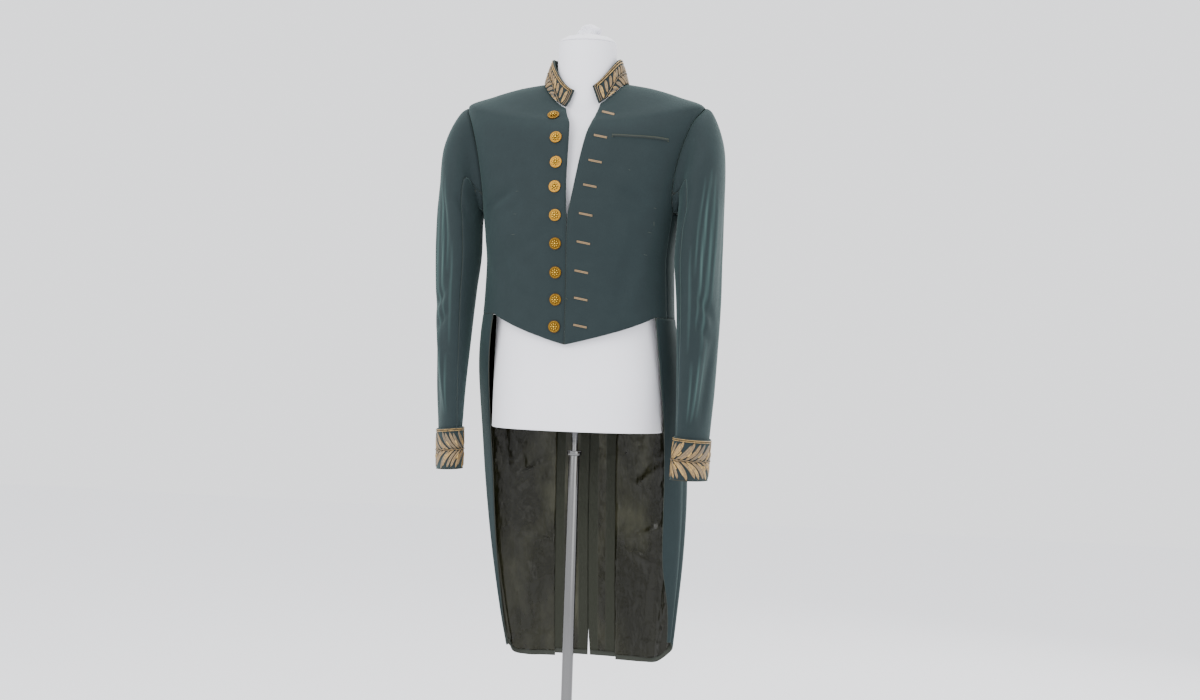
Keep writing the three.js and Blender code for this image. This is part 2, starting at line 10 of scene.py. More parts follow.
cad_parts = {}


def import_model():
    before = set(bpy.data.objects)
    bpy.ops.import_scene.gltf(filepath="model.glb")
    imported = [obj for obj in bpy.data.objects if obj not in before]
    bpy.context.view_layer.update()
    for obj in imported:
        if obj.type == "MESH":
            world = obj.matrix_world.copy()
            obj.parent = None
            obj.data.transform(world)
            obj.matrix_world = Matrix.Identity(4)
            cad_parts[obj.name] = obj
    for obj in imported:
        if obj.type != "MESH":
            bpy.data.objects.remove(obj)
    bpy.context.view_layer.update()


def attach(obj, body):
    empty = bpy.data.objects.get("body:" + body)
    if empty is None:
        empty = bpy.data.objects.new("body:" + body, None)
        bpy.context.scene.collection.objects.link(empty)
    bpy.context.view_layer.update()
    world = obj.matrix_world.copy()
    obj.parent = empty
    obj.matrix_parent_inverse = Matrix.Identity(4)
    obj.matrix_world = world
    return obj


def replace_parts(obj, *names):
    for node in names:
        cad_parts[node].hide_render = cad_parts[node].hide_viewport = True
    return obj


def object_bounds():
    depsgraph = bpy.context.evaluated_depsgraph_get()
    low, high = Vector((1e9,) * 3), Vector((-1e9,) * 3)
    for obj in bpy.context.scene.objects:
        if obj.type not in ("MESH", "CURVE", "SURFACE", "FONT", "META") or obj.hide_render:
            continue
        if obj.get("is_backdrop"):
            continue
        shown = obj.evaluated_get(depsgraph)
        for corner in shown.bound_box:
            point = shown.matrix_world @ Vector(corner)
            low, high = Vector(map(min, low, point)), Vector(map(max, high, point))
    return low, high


bl_info = {
    "name": "Academic Tailcoat",
    "version": (1, 0, 0),
    "blender": (4, 5, 0),
    "location": "3D View > Sidebar > Tailcoat",
    "description": "Cloth, embroidery, buttons, dress form and stand of an academic tailcoat",
    "category": "Object",
}

# ---- sizes in millimetres, the same tables as the solids ----
CLOTH, LINING, LINING_GAP, CLEAR = 2.0, 1.0, 0.9, 0.4
SEAM_ROW, SLEEVE_SEAM = 0.004, 0.1  # left open at a seam: rows, degrees round a sleeve
CORNER = {"right": 20, "left": 46}
WAIST, FRONT_POINT, HEM, HEM_STEP, TAIL_INSET = 1072, 1020, 431, 5, 10
SIDE_SEAM, NECK_Y = 74, 3
MESH = 4.0  # spacing of the cloth's own grid
EDGE_ROLL = 1.8  # how far in from a seam the cloth rolls under
BODY = np.array([
    [430, 430, 430, 9, 132, 154, 16, 30, 2.0],
    [520, 520, 520, 8, 112, 166, 30, 46, 2.0],
    [640, 640, 640, 7, 92, 179, 52, 64, 2.0],
    [760, 760, 760, 5, 74, 187, 74, 80, 2.0],
    [870, 870, 870, 3, 50, 188, 100, 100, 2.05],
    [970, 970, 970, 1, 22, 186, 122, 118, 2.1],
    [1030, 1030, 1030, 0, 6, 180, 117, 120, 2.2],
    [1072, 1072, 1072, 0, 0, 174, 113, 118, 2.3],
    [1124, 1124, 1124, 0, 0, 171, 115, 116, 2.3],
    [1168, 1168, 1168, 0, 0, 169, 118, 118, 2.35],
    [1212, 1212, 1212, 0, 0, 173, 121, 122, 2.4],
    [1256, 1256, 1256, 0, 0, 179, 120, 124, 2.4],
    [1305, 1308, 1306, 0, 0, 188, 115, 126, 2.45],
    [1350, 1362, 1356, 0, 1, 199, 109, 124, 2.5],
    [1388, 1414, 1404, 0, 2, 211, 101, 119, 2.45],
    [1410, 1447, 1438, 0, 3, 217, 90, 110, 2.3],
    [1421, 1467, 1468, 0, 3, 170, 80, 100, 2.1],
    [1429, 1482, 1488, 0, 3, 120, 71, 86, 2.0],
    [1434, 1490, 1500, 0, 3, 75, 61, 69, 2.0],
])  # zFront, zSide, zBack, x, y, half, front, back, power
WAIST_ROW, ARMPIT_ROW, SHOULDER_ROW, NECK_ROW = 7, 11, 15, 18
ARMHOLE = np.array([
    [11, 74, 118], [11.6, 67, 119], [12.5, 64.5, 118], [13.5, 66.5, 114], [14.3, 73, 106], [15, 90, 90],
])  # row, front, back
FRONT_EDGE = np.array([
    [6, 1.2, 1.6], [9, 1.2, 1.6], [10.6, 0.6, 1.8], [11, -1, 3.5], [12, -3.5, 11], [13, -4, 18],
    [14, -5, 25], [15, -8, 31], [16.2, -15, 35], [18, -23, 38],
])  # row, right, left
SKIRT_EDGE = np.array([
    [430, 0.985, 0.955], [470, 0.985, 0.95], [540, 0.97, 0.92], [620, 0.95, 0.84], [700, 0.92, 0.825],
    [780, 0.885, 0.835], [870, 0.86, 0.855], [970, 0.82, 0.86], [1072, 0.8, 0.88],
])  # z, right, left
PLEAT = np.array([
    [430, 62, 55, 3], [760, 68, 47, -5], [1030, 66, 46, -4], [1072, 62, 48, 0], [1124, 64, 60, 0],
    [1168, 78, 76, 0], [1212, 112, 112, 0], [1256, 161, 161, 0],
])  # z, right, left, lap
FORM = np.array([
    [869, 869, 869, 3, 0, 155, 103, 108, 2.15],
    [940, 940, 940, 3, 0, 155, 102, 108, 2.15],
    [1030, 1030, 1030, 2, 0, 153, 98, 106, 2.15],
    [1124, 1124, 1124, 1, 0, 151, 100, 102, 2.2],
    [1212, 1212, 1212, 0, 0, 156, 106, 108, 2.3],
    [1300, 1300, 1300, 0, 0, 163, 102, 110, 2.3],
    [1342, 1362, 1356, 0, 0, 160, 94, 106, 2.3],
    [1378, 1428.6, 1404, 0, 1, 148, 84, 98, 2.2],
    [1400, 1470.6, 1440, 0, 2, 116, 72, 88, 2.1],
    [1416, 1486.6, 1466, 0, 2, 80, 60, 68, 2.0],
    [1440, 1488, 1484, 0, 2, 57, 50, 56, 2.0],
    [1488, 1504, 1506, 0, 2, 53.5, 50, 53, 2.0],
    [1562, 1562, 1562, 0, 2, 52.5, 51, 52, 2.0],
])
SLEEVE = np.array([
    [203, 0, 1352, 93, 63, 79, 0],
    [209, -3, 1349, 84, 66, 70, 0],
    [214, -9, 1335, 66, 69, 54, 0],
    [219.5, -16, 1302, 47, 70, 34, 3],
    [220, -21, 1250, 40.6, 69, 16, 6],
    [219, -25, 1180, 40, 66, 6, 8],
    [222, -29, 1105, 36, 61, 1, 11],
    [223, -33, 1030, 32, 56, -3, 14],
    [223, -38, 950, 27, 51, -6, 18],
    [221.5, -42, 880, 22.5, 46, -6, 22],
    [220.5, -45, 850, 21, 45, -6, 23],
    [218.5, -49, 800, 20.5, 45, -4, 24],
    [218, -50, 792, 20.5, 45, -4, 24],
])  # x, y, z, span, depth, tilt, turn
CUFF_TOP, CUFF_BOTTOM, SLEEVE_END = 9.45, 11.9, 11.4
TOP_SLEEVE = (-112, 118)
UNDERARM_FROM, UNDERARM_MIDDLE, SEWN_ROWS = 150, 96, 2.4
HEAD_GAP, HEAD_RISE, HEAD_DROP = 0.1, 9, 1.5
FOLDS_TOP, FOLDS_END = 1318, 875  # where a sleeve's folds die out under its head and over its cuff
COLLAR = np.array([
    [1436, 1491, 1501.5, 76, 63, 71, -18.5, 28],
    [1447, 1506, 1517, 72, 61.5, 68, -14, 26],
    [1459, 1521, 1533, 67, 60, 65, -11, 24],
    [1470, 1535, 1548, 62, 59, 62, -8, 22],
])  # zFront, zSide, zBack, half, front, back, right, left
COLLAR_WALL, CUFF_WALL, CUFF_LIFT = 3.0, 2.25, 1.0
VENT_TOP, VENT_DROP = 492, 58
LINING_TOP, HEM_CREASE = WAIST_ROW - 0.12, 38  # the crease lies above the hem
SKIRT_FACING, BACK_FACING, FACING_BLUR = 0.016, 0.019, 0.0015  # matt strips along the linings' edges, metres
BUTTONS = [(1421, 26), (1381, 23), (1337, 20), (1294, 20), (1244, 20), (1195, 19), (1145, 18),
           (1098, 17), (1051, 18)]  # level, distance from the edge

# Soft troughs (positive) and ridges (negative) of the coat's body, as lines seen from the front or
# the back: face, x and z of both ends, width, depth.
FOLDS = [
    ("front", -148, 1262, -104, 1290, 9, 4.8), ("front", -140, 1240, -88, 1262, 12, 2.4),
    ("front", 128, 1270, 92, 1290, 9, 4.5), ("front", 132, 1246, 84, 1258, 12, 2.2),
    ("front", -150, 1200, -120, 1100, 13, -2.4), ("front", -118, 1180, -100, 1085, 12, 2.2),
    ("front", 142, 1205, 120, 1105, 13, -2.2), ("front", 112, 1190, 92, 1080, 12, 2.1),
    ("front", -90, 1345, -60, 1290, 16, 2.0), ("front", 92, 1350, 70, 1300, 16, 1.8),
    ("front", -30, 1215, -96, 1180, 10, 1.4), ("front", 16, 1120, 90, 1106, 9, 1.4),
    ("front", -26, 1098, -95, 1110, 9, 1.4), ("front", 18, 1166, 84, 1176, 10, 1.2),
    ("front", -60, 1075, -44, 1035, 9, 1.2), ("front", 44, 1078, 36, 1036, 9, 1.2),
    ("back", -120, 1270, -70, 1225, 13, 2.7), ("back", 122, 1280, 66, 1232, 13, 2.5),
    ("back", -60, 1165, -16, 1110, 12, 1.8), ("back", 56, 1160, 18, 1104, 12, 1.8),
    ("back", -40, 1400, -80, 1320, 20, 2.1), ("back", 44, 1396, 86, 1322, 20, 2.0),
    ("back", -34, 1010, -30, 480, 13, 3.0), ("back", 22, 1015, 27, 500, 13, -2.7),
]
# The same for the side skirts, whose folds fall from the waist: side, angle at the waist and at the
# hem, width, depth.
SKIRT_FOLDS = [
    (-1, 76, 84, 12, -3.4), (-1, 92, 96, 15, 4.2), (-1, 112, 116, 15, -3.9), (-1, 134, 132, 14, 3.1),
    (1, 80, 88, 12, 2.9), (1, 98, 101, 15, -4.2), (1, 118, 119, 15, 3.9), (1, 138, 135, 14, -2.9),
]
# The sleeves: angle and level of both ends, width, depth. The right sleeve takes them with a lean.
SLEEVE_FOLDS = [
    (-60, 1290, -72, 1130, 9, 5.0), (-25, 1300, -34, 1060, 11, -4.2), (20, 1310, 6, 1080, 12, 3.0),
    (-70, 1120, -20, 1075, 9, 5.0), (-82, 1085, -30, 1040, 9, 4.2), (-40, 1060, -55, 900, 10, -4.2),
    (-8, 1040, -20, 890, 11, 3.4), (60, 1290, 74, 1180, 12, 3.6), (140, 1230, 160, 1120, 13, 4.2),
    (95, 1090, 140, 1050, 11, 3.6), (110, 1010, 125, 900, 12, -3.2), (-100, 1300, -120, 1240, 10, 4.2),
]
# Narrow pressed ridges down a sleeve: angle and level of both ends, width, share of their height and of the
# highlight painted along them.
RIDGE_HEIGHT = 0.8
SLEEVE_RIDGES = [
    (-34, 1330, -46, 1000, 2.6, 0.7), (-48, 1335, -60, 1050, 2.2, 0.9), (-62, 1320, -70, 1140, 2.4, 0.5),
    (-22, 1300, -30, 1080, 2.4, 0.5), (-46, 1010, -50, 890, 2.6, 0.8), (-66, 1000, -62, 890, 2.4, 0.5),
    (-28, 1040, -34, 895, 2.6, 0.6), (-84, 1200, -80, 1010, 2.8, 0.4), (30, 1310, 22, 1060, 3.0, 0.6),
    (70, 1290, 84, 1120, 3.2, 0.5), (44, 1040, 40, 900, 3.0, 0.5),
]


# ---- shared geometry ----
def between(rows, at):
    """Smooth rows of a table at row numbers that needn't be whole."""
    at = np.clip(np.asarray(at, float), 0, len(rows) - 1)
    i = np.minimum(at.astype(int), len(rows) - 2)
    f = (at - i)[..., None]
    b, c = rows[i], rows[i + 1]
    a, d = rows[np.maximum(i - 1, 0)], rows[np.minimum(i + 2, len(rows) - 1)]
    m1 = np.where((c - b) * (b - a) > 0, (c - a) / 2, 0)
    m2 = np.where((d - c) * (c - b) > 0, (d - b) / 2, 0)
    return (
        (2 * f**3 - 3 * f**2 + 1) * b + (f**3 - 2 * f**2 + f) * m1
        + (3 * f**2 - 2 * f**3) * c + (f**3 - f**2) * m2
    )


def row_at(rows, column, value):
    """The row number at which a rising or falling column reaches a value."""
    at = np.linspace(0, len(rows) - 1, 6001)
    known = between(rows, at)[:, column]
    if known[0] > known[-1]:
        at, known = at[::-1], known[::-1]
    return np.interp(value, known, at)


def look_up(rows, column, value):
    return between(rows, row_at(rows, column, value))


def power(v, p):
    return np.sign(v) * np.abs(v) ** p


def bell(off, width):
    return np.exp(-((off / width) ** 2))


def wrapped(angle):
    """The same angle from -180 to 180."""
    return (angle + 180) % 360 - 180


def run_along(line):
    """Length run so far at each point of a line."""
    return np.concatenate([[0], np.cumsum(np.linalg.norm(np.diff(line, axis=0), axis=1))])


def lerp(a, b, f):
    return a + (b - a) * f


def section(rows, row, angle):
    """Points of a section table's surface: angle 0 is the front centre, 90 the wearer's left."""
    s = between(rows, row)
    sin, cos = np.sin(np.radians(angle)), np.cos(np.radians(angle))
    end = np.where(cos > 0, s[..., 0], s[..., 2])
    depth = np.where(cos > 0, s[..., 6], s[..., 7])
    p = 2 / s[..., 8]
    return np.stack([
        s[..., 3] + s[..., 5] * power(sin, p),
        s[..., 4] - depth * power(cos, p),
        lerp(s[..., 1], end, cos * cos),
    ], axis=-1)


def on_body(row, angle):
    return section(BODY, row, angle)


def level_row(z):
    return row_at(BODY, 1, z)


def normals(surface, row, angle):
    up = surface(row + 0.02, angle) - surface(row - 0.02, angle)
    across = surface(row, angle + 0.2) - surface(row, angle - 0.2)
    n = np.cross(across, up)
    return n / np.linalg.norm(n, axis=-1, keepdims=True)


def angle_at(row, x, back):
    s = between(BODY, row)
    sin = np.clip(power((x - s[..., 3]) / s[..., 5], s[..., 8] / 2), -1, 1)
    angle = np.degrees(np.arcsin(sin))
    return 180 - angle if back else angle


def back_angle(row, x, side):
    angle = angle_at(row, x, True)
    return angle if side > 0 else 360 - angle


def word(side):
    return "left" if side > 0 else "right"


def of_side(side):
    return 2 if side > 0 else 1


def front_outer(row):
    hole = look_up(ARMHOLE, 0, np.clip(row, ARMPIT_ROW, SHOULDER_ROW))[..., 1]
    return np.where(row <= ARMPIT_ROW, SIDE_SEAM, np.where(row >= SHOULDER_ROW, 90, hole))


def back_outer(row, side):
    hole = look_up(ARMHOLE, 0, np.clip(row, ARMPIT_ROW, SHOULDER_ROW))[..., 2]
    below = np.minimum(row, ARMPIT_ROW)
    pleat = look_up(PLEAT, 0, between(BODY, below)[..., 1])[..., of_side(side)]
    angle = back_angle(below, side * pleat, side)
    angle = lerp(angle, ARMHOLE[0, 2], np.clip(below - ARMPIT_ROW + 1, 0, 1) ** 4)
    return np.where(row >= SHOULDER_ROW, 90, np.where(row >= ARMPIT_ROW, hole, angle))


def centre_back(row, side):
    z = np.minimum(between(BODY, row)[..., 1], 1256)
    return back_angle(row, look_up(PLEAT, 0, z)[..., 3], side)


def vent(row):
    """How far each tail stands back from the centre line, in degrees, where they part at the hem."""
    return 0.9 * np.clip((VENT_TOP - between(BODY, row)[..., 1]) / VENT_DROP, 0, 1) ** 1.2


def tail_edge(row, side):
    return centre_back(row, side) - vent(row)


def skirt_edge(row, side):
    s = between(BODY, row)
    share = look_up(SKIRT_EDGE, 0, s[..., 1])[..., of_side(side)]
    return np.degrees(np.arcsin(share ** (s[..., 8] / 2)))


def front_edge(row, side):
    return side * angle_at(row, look_up(FRONT_EDGE, 0, row)[..., of_side(side)], False)


def to_line(px, pz, x0, z0, x1, z1):
    """Distance of points from a line, and how far along it they lie, from 0 to 1."""
    dx, dz = x1 - x0, z1 - z0
    along = np.clip(((px - x0) * dx + (pz - z0) * dz) / (dx * dx + dz * dz), 0, 1)
    return np.hypot(px - x0 - along * dx, pz - z0 - along * dz), along


def body_folds(points):
    """How far the cloth stands off its plain form, at points of the body."""
    x, y, z = points[..., 0], points[..., 1], points[..., 2]
    out = np.zeros(x.shape)
    for face, x0, z0, x1, z1, width, depth in FOLDS:
        off, along = to_line(x, z, x0, z0, x1, z1)
        fade = 0.55 + 0.45 * np.sin(np.pi * along)
        here = np.clip((-y if face == "front" else y) / 30, 0, 1)
        out -= depth * fade * here * bell(off, width)
    out += 0.5 * np.sin(x / 31 + z / 47 + 1.1) * np.sin(z / 38 - x / 90)
    return out


def skirt_folds(side, row, angle, points):
    fall = np.clip((WAIST - points[..., 2]) / (WAIST - HEM), 0, 1)
    out = np.zeros(fall.shape)
    turn = np.abs(angle)
    for where, top, bottom, width, depth in SKIRT_FOLDS:
        if where == side:
            off = turn - lerp(top, bottom, fall)
            out -= depth * np.sin(np.pi * np.clip(fall, 0.02, 0.75) / 1.5) * bell(off, width / 2)
    return out


# ---- meshes ----
def make_object(name, points, faces, uv=None, values=None):
    """A mesh object from points in millimetres, with a map and named values per point."""
    mesh = bpy.data.meshes.new(name)
    mesh.from_pydata((np.asarray(points) / 1000).tolist(), [], faces)
    if uv is not None:
        layer = mesh.uv_layers.new(name="Cloth")
        index = np.empty(len(mesh.loops), int)
        mesh.loops.foreach_get("vertex_index", index)
        layer.data.foreach_set("uv", np.asarray(uv, float)[index].ravel())
    for key, value in (values or {}).items():
        attribute = mesh.attributes.new(key, "FLOAT", "POINT")
        attribute.data.foreach_set("value", np.asarray(value, float))
    mesh.update()
    obj = bpy.data.objects.new(name, mesh)
    bpy.context.scene.collection.objects.link(obj)
    mesh.shade_smooth()
    return obj


def wall_faces(rows, columns, loop=False):
    """Faces of a closed wall whose outer and inner grids follow each other in the points."""
    def at(layer, i, j):
        return layer * rows * columns + i * columns + j % columns
    faces = []
    spans = columns if loop else columns - 1
    for i in range(rows - 1):
        for j in range(spans):
            faces.append((at(0, i, j), at(0, i, j + 1), at(0, i + 1, j + 1), at(0, i + 1, j)))
            faces.append((at(1, i, j), at(1, i + 1, j), at(1, i + 1, j + 1), at(1, i, j + 1)))
    top = rows - 1
    for j in range(spans):
        faces.append((at(0, 0, j), at(1, 0, j), at(1, 0, j + 1), at(0, 0, j + 1)))
        faces.append((at(0, top, j), at(0, top, j + 1), at(1, top, j + 1), at(1, top, j)))
    if not loop:
        last = columns - 1
        for i in range(rows - 1):
            faces.append((at(0, i, 0), at(0, i + 1, 0), at(1, i + 1, 0), at(1, i, 0)))
            faces.append((at(0, i, last), at(1, i, last), at(1, i + 1, last), at(0, i + 1, last)))
    return faces


def measured(points):
    """Lengths along both ways of a grid of points, and its area."""
    across = np.linalg.norm(np.diff(points, axis=1), axis=-1)
    up = np.linalg.norm(np.diff(points, axis=0), axis=-1)
    a = points[1:, 1:] - points[:-1, :-1]
    b = points[1:, :-1] - points[:-1, 1:]
    area = np.linalg.norm(np.cross(a, b), axis=-1).sum() / 2
    u = np.pad(np.cumsum(across, axis=1), ((0, 0), (1, 0)))
    v = np.pad(np.cumsum(up, axis=0), ((1, 0), (0, 0)))
    return u, v, area


def cloth_wall(node, points, normal, slot, material, *, thick, seam, shift=0.0,
               loop=False, outward=0.0, ridge=0.0):
    """A sheet of cloth with the panel's own cut, moved outward by its folds and rolled under at its seams."""
    closed = np.concatenate([points, points[:, :1]], axis=1) if loop else points
    rows, columns = points.shape[:2]
    u, v, area = measured(closed)
    total_u = u[:, -1:]
    u, v = u[:, :columns], v[:, :columns]
    edge = np.minimum(v, v[-1:] - v) if loop else np.minimum.reduce([u, total_u - u, v, v[-1:] - v])
    off = shift + np.broadcast_to(outward, (rows, columns))
    outer = points + normal * (off - seam * bell(edge, EDGE_ROLL))[..., None]
    inner = points + normal * (off - thick)[..., None]
    both = np.concatenate([outer.reshape(-1, 3), inner.reshape(-1, 3)])
    uv = np.stack([u, v], axis=-1).reshape(-1, 2) / 1000
    # The third value is the share of highlight painted along the sleeves' pressed ridges.
    values = {"Edge": np.tile(edge.ravel() / 1000, 2), "Inside": np.repeat([0.0, 1.0], rows * columns),
              "RidgeHighlight": np.tile(np.broadcast_to(ridge, (rows, columns)).ravel(), 2)}
    obj = make_object(node + "_cloth", both, wall_faces(rows, columns, loop), np.tile(uv, (2, 1)), values)
    dress(obj, "dressed_form", slot, material)
    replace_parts(obj, node)
    width, length = float(total_u.max()) / 1000, float(v.max()) / 1000
    area = min(area / 1e6, width * length)
    return obj


def dress(obj, body, slot, material):
    obj.data.materials.append(material)
    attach(obj, body)
    return obj


def even_rows(low, high, angle_of):
    """Row numbers about a mesh's spacing apart on the body."""
    at = np.linspace(low, high, 500)
    run = run_along(on_body(at, angle_of(at, 0.5)))
    return np.interp(np.linspace(0, run[-1], max(3, round(run[-1] / MESH))), run, at)


def panel_grid(side, low_of, first, high, angle_of, columns):
    """Rows and angles of a body panel; below the row `first` its rows follow its lower edge."""
    u = np.linspace(0, 1, columns)
    if side < 0:
        u = u[::-1]
    low = low_of(u)
    upper = even_rows(first, high, angle_of)
    lowest = float(np.min(low))
    count = len(even_rows(lowest, first, angle_of)) if first - lowest > 1e-6 else 0
    share = np.linspace(0, 1, count, endpoint=False)
    lower = lerp(low[None, :], first, share[:, None])
    row = np.concatenate([lower, np.repeat(upper[:, None], columns, axis=1)])
    angle = side * angle_of(row, u[None, :])
    return row, angle


# ---- sleeves, cuffs and collar ----
def armhole_point(side, angle):
    a = wrapped(angle)
    spread = np.abs(a)
    upper = spread < UNDERARM_FROM
    rise = (1 + np.cos(np.radians(a * 180 / UNDERARM_FROM))) / 2
    row = np.where(upper, np.minimum(lerp(ARMPIT_ROW, SHOULDER_ROW, rise), SHOULDER_ROW - 0.001),
                   ARMPIT_ROW - SEAM_ROW)
    along = np.where(a < 0, front_outer(row), back_outer(row, side))
    past = (spread - UNDERARM_FROM) / (180 - UNDERARM_FROM)
    under = lerp(np.where(a < 0, SIDE_SEAM, ARMHOLE[0, 2]), UNDERARM_MIDDLE, past)
    return on_body(row, side * np.where(upper, along, under))


def sleeve_point(side, row, angle, out=0.0):
    """The sleeve's surface: angle 0 is outside, -90 in front, and rows run down from the armhole."""
    s = between(SLEEVE, row)
    a = np.radians(angle)
    u, w = (s[..., 3] + out) * np.cos(a), (s[..., 4] + out) * np.sin(a)
    turn, tilt = np.radians(s[..., 6]), np.radians(s[..., 5])
    across = u * np.cos(turn) + w * np.sin(turn)
    along = w * np.cos(turn) - u * np.sin(turn)
    tube = np.stack([side * (s[..., 0] + across * np.cos(tilt)), s[..., 1] + along,
                     s[..., 2] + across * np.sin(tilt)], axis=-1)
    sewn = np.clip(1 - row / SEWN_ROWS, 0, 1)
    edge = armhole_point(side, angle)
    edge[..., 0] += side * (HEAD_GAP + HEAD_RISE * np.clip(row, 0, 1))
    edge[..., 2] += HEAD_DROP * np.maximum(0, -np.cos(a))
    return lerp(tube, edge, (sewn * sewn * (3 - 2 * sewn))[..., None])


def sleeve_surface(side, out=0.0):
    def surface(row, angle):
        row, angle = np.broadcast_arrays(np.asarray(row, float), np.asarray(angle, float))
        return sleeve_point(side, -row, side * angle, out)
    return surface


def sleeve_folds(side, angle, points):
    z = points[..., 2]
    a = wrapped(side * angle)
    lean = 0 if side > 0 else 5
    out = np.zeros(z.shape)
    for a0, z0, a1, z1, width, depth in SLEEVE_FOLDS:
        off, along = to_line(a * 0.85, z, (a0 + lean) * 0.85, z0 - 2 * lean, (a1 - lean) * 0.85, z1 + lean)
        out -= depth * (0.45 + 0.55 * np.sin(np.pi * along)) * bell(off, width)
    return out * np.clip((FOLDS_TOP - z) / 60, 0, 1) * np.clip((z - FOLDS_END) / 40, 0, 1)


def sleeve_ridges(side, angle, points):
    """How high the sleeve's narrow pressed ridges stand, up to 1; the same share sets the highlight painted
    along them.
    """
    z = points[..., 2]
    a = wrapped(side * angle)
    raised = np.zeros(z.shape)
    for a0, z0, a1, z1, width, share in SLEEVE_RIDGES:
        off, along = to_line(a, z, a0, z0, a1, z1)
        raised += share * np.sin(np.pi * along) ** 0.7 * bell(off, width)
    return np.clip(raised, 0, 1)


def collar_point(row, angle):
    s = between(COLLAR, row)
    cos = np.cos(np.radians(angle))
    return np.stack([
        s[..., 3] * np.sin(np.radians(angle)),
        NECK_Y - np.where(cos > 0, s[..., 4], s[..., 5]) * cos,
        lerp(s[..., 1], np.where(cos > 0, s[..., 0], s[..., 2]), cos * cos),
    ], axis=-1)


class Chart:
    """A flat map in millimetres of a band of cloth, which embroidery is laid out on."""

    def __init__(self, surface, width, height, shift):
        self.surface, self.width, self.height, self.shift = surface, width, height, shift

    def lift(self, s, t, off):
        row, angle = self.where(s / self.width, t / self.height)
        point = self.surface(row, angle)
        normal = normals(self.surface, row, angle)
        return point + normal * (np.asarray(off) + self.shift)[..., None]


class CollarChart(Chart):
    """Runs from the wearer's left front end round the back to the right one."""

    def where(self, s, t):
        row = np.clip(t, 0, 1) * (len(COLLAR) - 1)
        ends = between(COLLAR, row)
        return row, lerp(ends[..., 7], 360 + ends[..., 6], s)


class CuffChart(Chart):
    """Runs once round the sleeve, with its height measured up from the cuff's lower edge."""

    def where(self, s, t):
        return -cuff_row(np.clip(t, 0, 1)), 360 * s + 0 * t


def cuff_row(share):
    """The sleeve's row at a share of the cuff's height."""
    low, high = between(SLEEVE, np.array([CUFF_BOTTOM, CUFF_TOP]))[:, 2]
    return row_at(SLEEVE, 2, lerp(low, high, share))


CORD_STEP = 1.6  # spacing of a cord's own rings


class Stitching:
    """Raised leaves and cords of thread, gathered into one mesh."""

    def __init__(self):
        self.points, self.faces, self.uv, self.tone, self.count = [], [], [], [], 0

    def take(self, outer, inner, uv, tone):
        rows, columns = outer.shape[:2]
        self.points += [outer.reshape(-1, 3), inner.reshape(-1, 3)]
        self.uv += [uv.reshape(-1, 2), uv.reshape(-1, 2)]
        self.tone.append(np.full(2 * rows * columns, tone))
        self.faces += [tuple(i + self.count for i in f) for f in wall_faces(rows, columns)]
        self.count += 2 * rows * columns

    def leaf(self, chart, s, t, lean, length, width, curve, tone, height, base=0.0):
        """A padded leaf from (s, t), leaning degrees from upright and bending by curve."""
        k = np.linspace(0, 1, 11)
        way = np.radians(lean + curve * (k - 0.15))
        step = length / (len(k) - 1)
        cs = s + np.concatenate([[0], np.cumsum(np.sin(way)[:-1])]) * step
        ct = t + np.concatenate([[0], np.cumsum(np.cos(way)[:-1])]) * step
        half = width / 2 * (1 - 0.99 * np.abs(2 * k - 1) ** 4) ** 0.5 * (0.55 + 0.45 * np.minimum(1, 2 * k))
        q = np.linspace(-1, 1, 7)
        gs = cs[:, None] + np.cos(way)[:, None] * half[:, None] * q
        gt = ct[:, None] - np.sin(way)[:, None] * half[:, None] * q
        dome = (1 - np.abs(q) ** 2.4)[None, :] * np.sin(np.pi * (0.06 + 0.88 * k))[:, None] ** 0.5
        vein = 0.45 * bell(q, 0.22)[None, :] * np.sin(np.pi * k)[:, None] ** 0.3
        top = chart.lift(gs, gt, base + 0.15 + height * (dome - vein * 0.8))
        low = chart.lift(gs, gt, np.full(gs.shape, -0.3))
        along = (k * length)[:, None] + np.abs(half[:, None] * q) * 0.9
        uv = np.stack([along, np.repeat(q[None, :], len(k), axis=0)], axis=-1) / 1000
        self.take(top, low, uv, tone)

    def cord(self, chart, path, radius, tone, lift=0.0):
        """A twisted cord lying on the band along a path of (s, t)."""
        path = np.asarray(path, float)
        run = run_along(path)
        at = np.linspace(0, run[-1], max(4, int(run[-1] / CORD_STEP)))
        s, t = np.interp(at, run, path[:, 0]), np.interp(at, run, path[:, 1])
        ds, dt = np.gradient(s, at), np.gradient(t, at)
        q = np.linspace(-1, 1, 6)
        rise = np.sqrt(1 - q * q)
        gs, gt = s[:, None] - dt[:, None] * radius * q, t[:, None] + ds[:, None] * radius * q
        flat = np.ones(gs.shape)
        top = chart.lift(gs, gt, lift + 0.1 + flat * rise * radius * 1.5)
        low = chart.lift(gs, gt, lift - 0.3 * flat)
        uv = np.stack([at[:, None] + q[None, :] * radius * 0.9, flat * q], axis=-1) / 1000
        self.take(top[:, ::-1], low[:, ::-1], uv[:, ::-1], tone)

    def finish(self, name, slot, material):
        obj = make_object(name, np.concatenate(self.points), self.faces, np.concatenate(self.uv),
                          {"Tone": np.concatenate(self.tone)})
        return dress(obj, "dressed_form", slot, material)


def vary(k, low, high):
    """A value between two limits that changes unevenly from piece to piece, the same every run."""
    return low + (high - low) * (0.5 + 0.5 * math.sin(k * 12.9898 + 4.1) * math.cos(k * 3.77))


# ---- materials ----
def linear(r, g, b):
    def one(c):
        c /= 255
        return c / 12.92 if c <= 0.04045 else ((c + 0.055) / 1.055) ** 2.4
    return (one(r), one(g), one(b), 1)


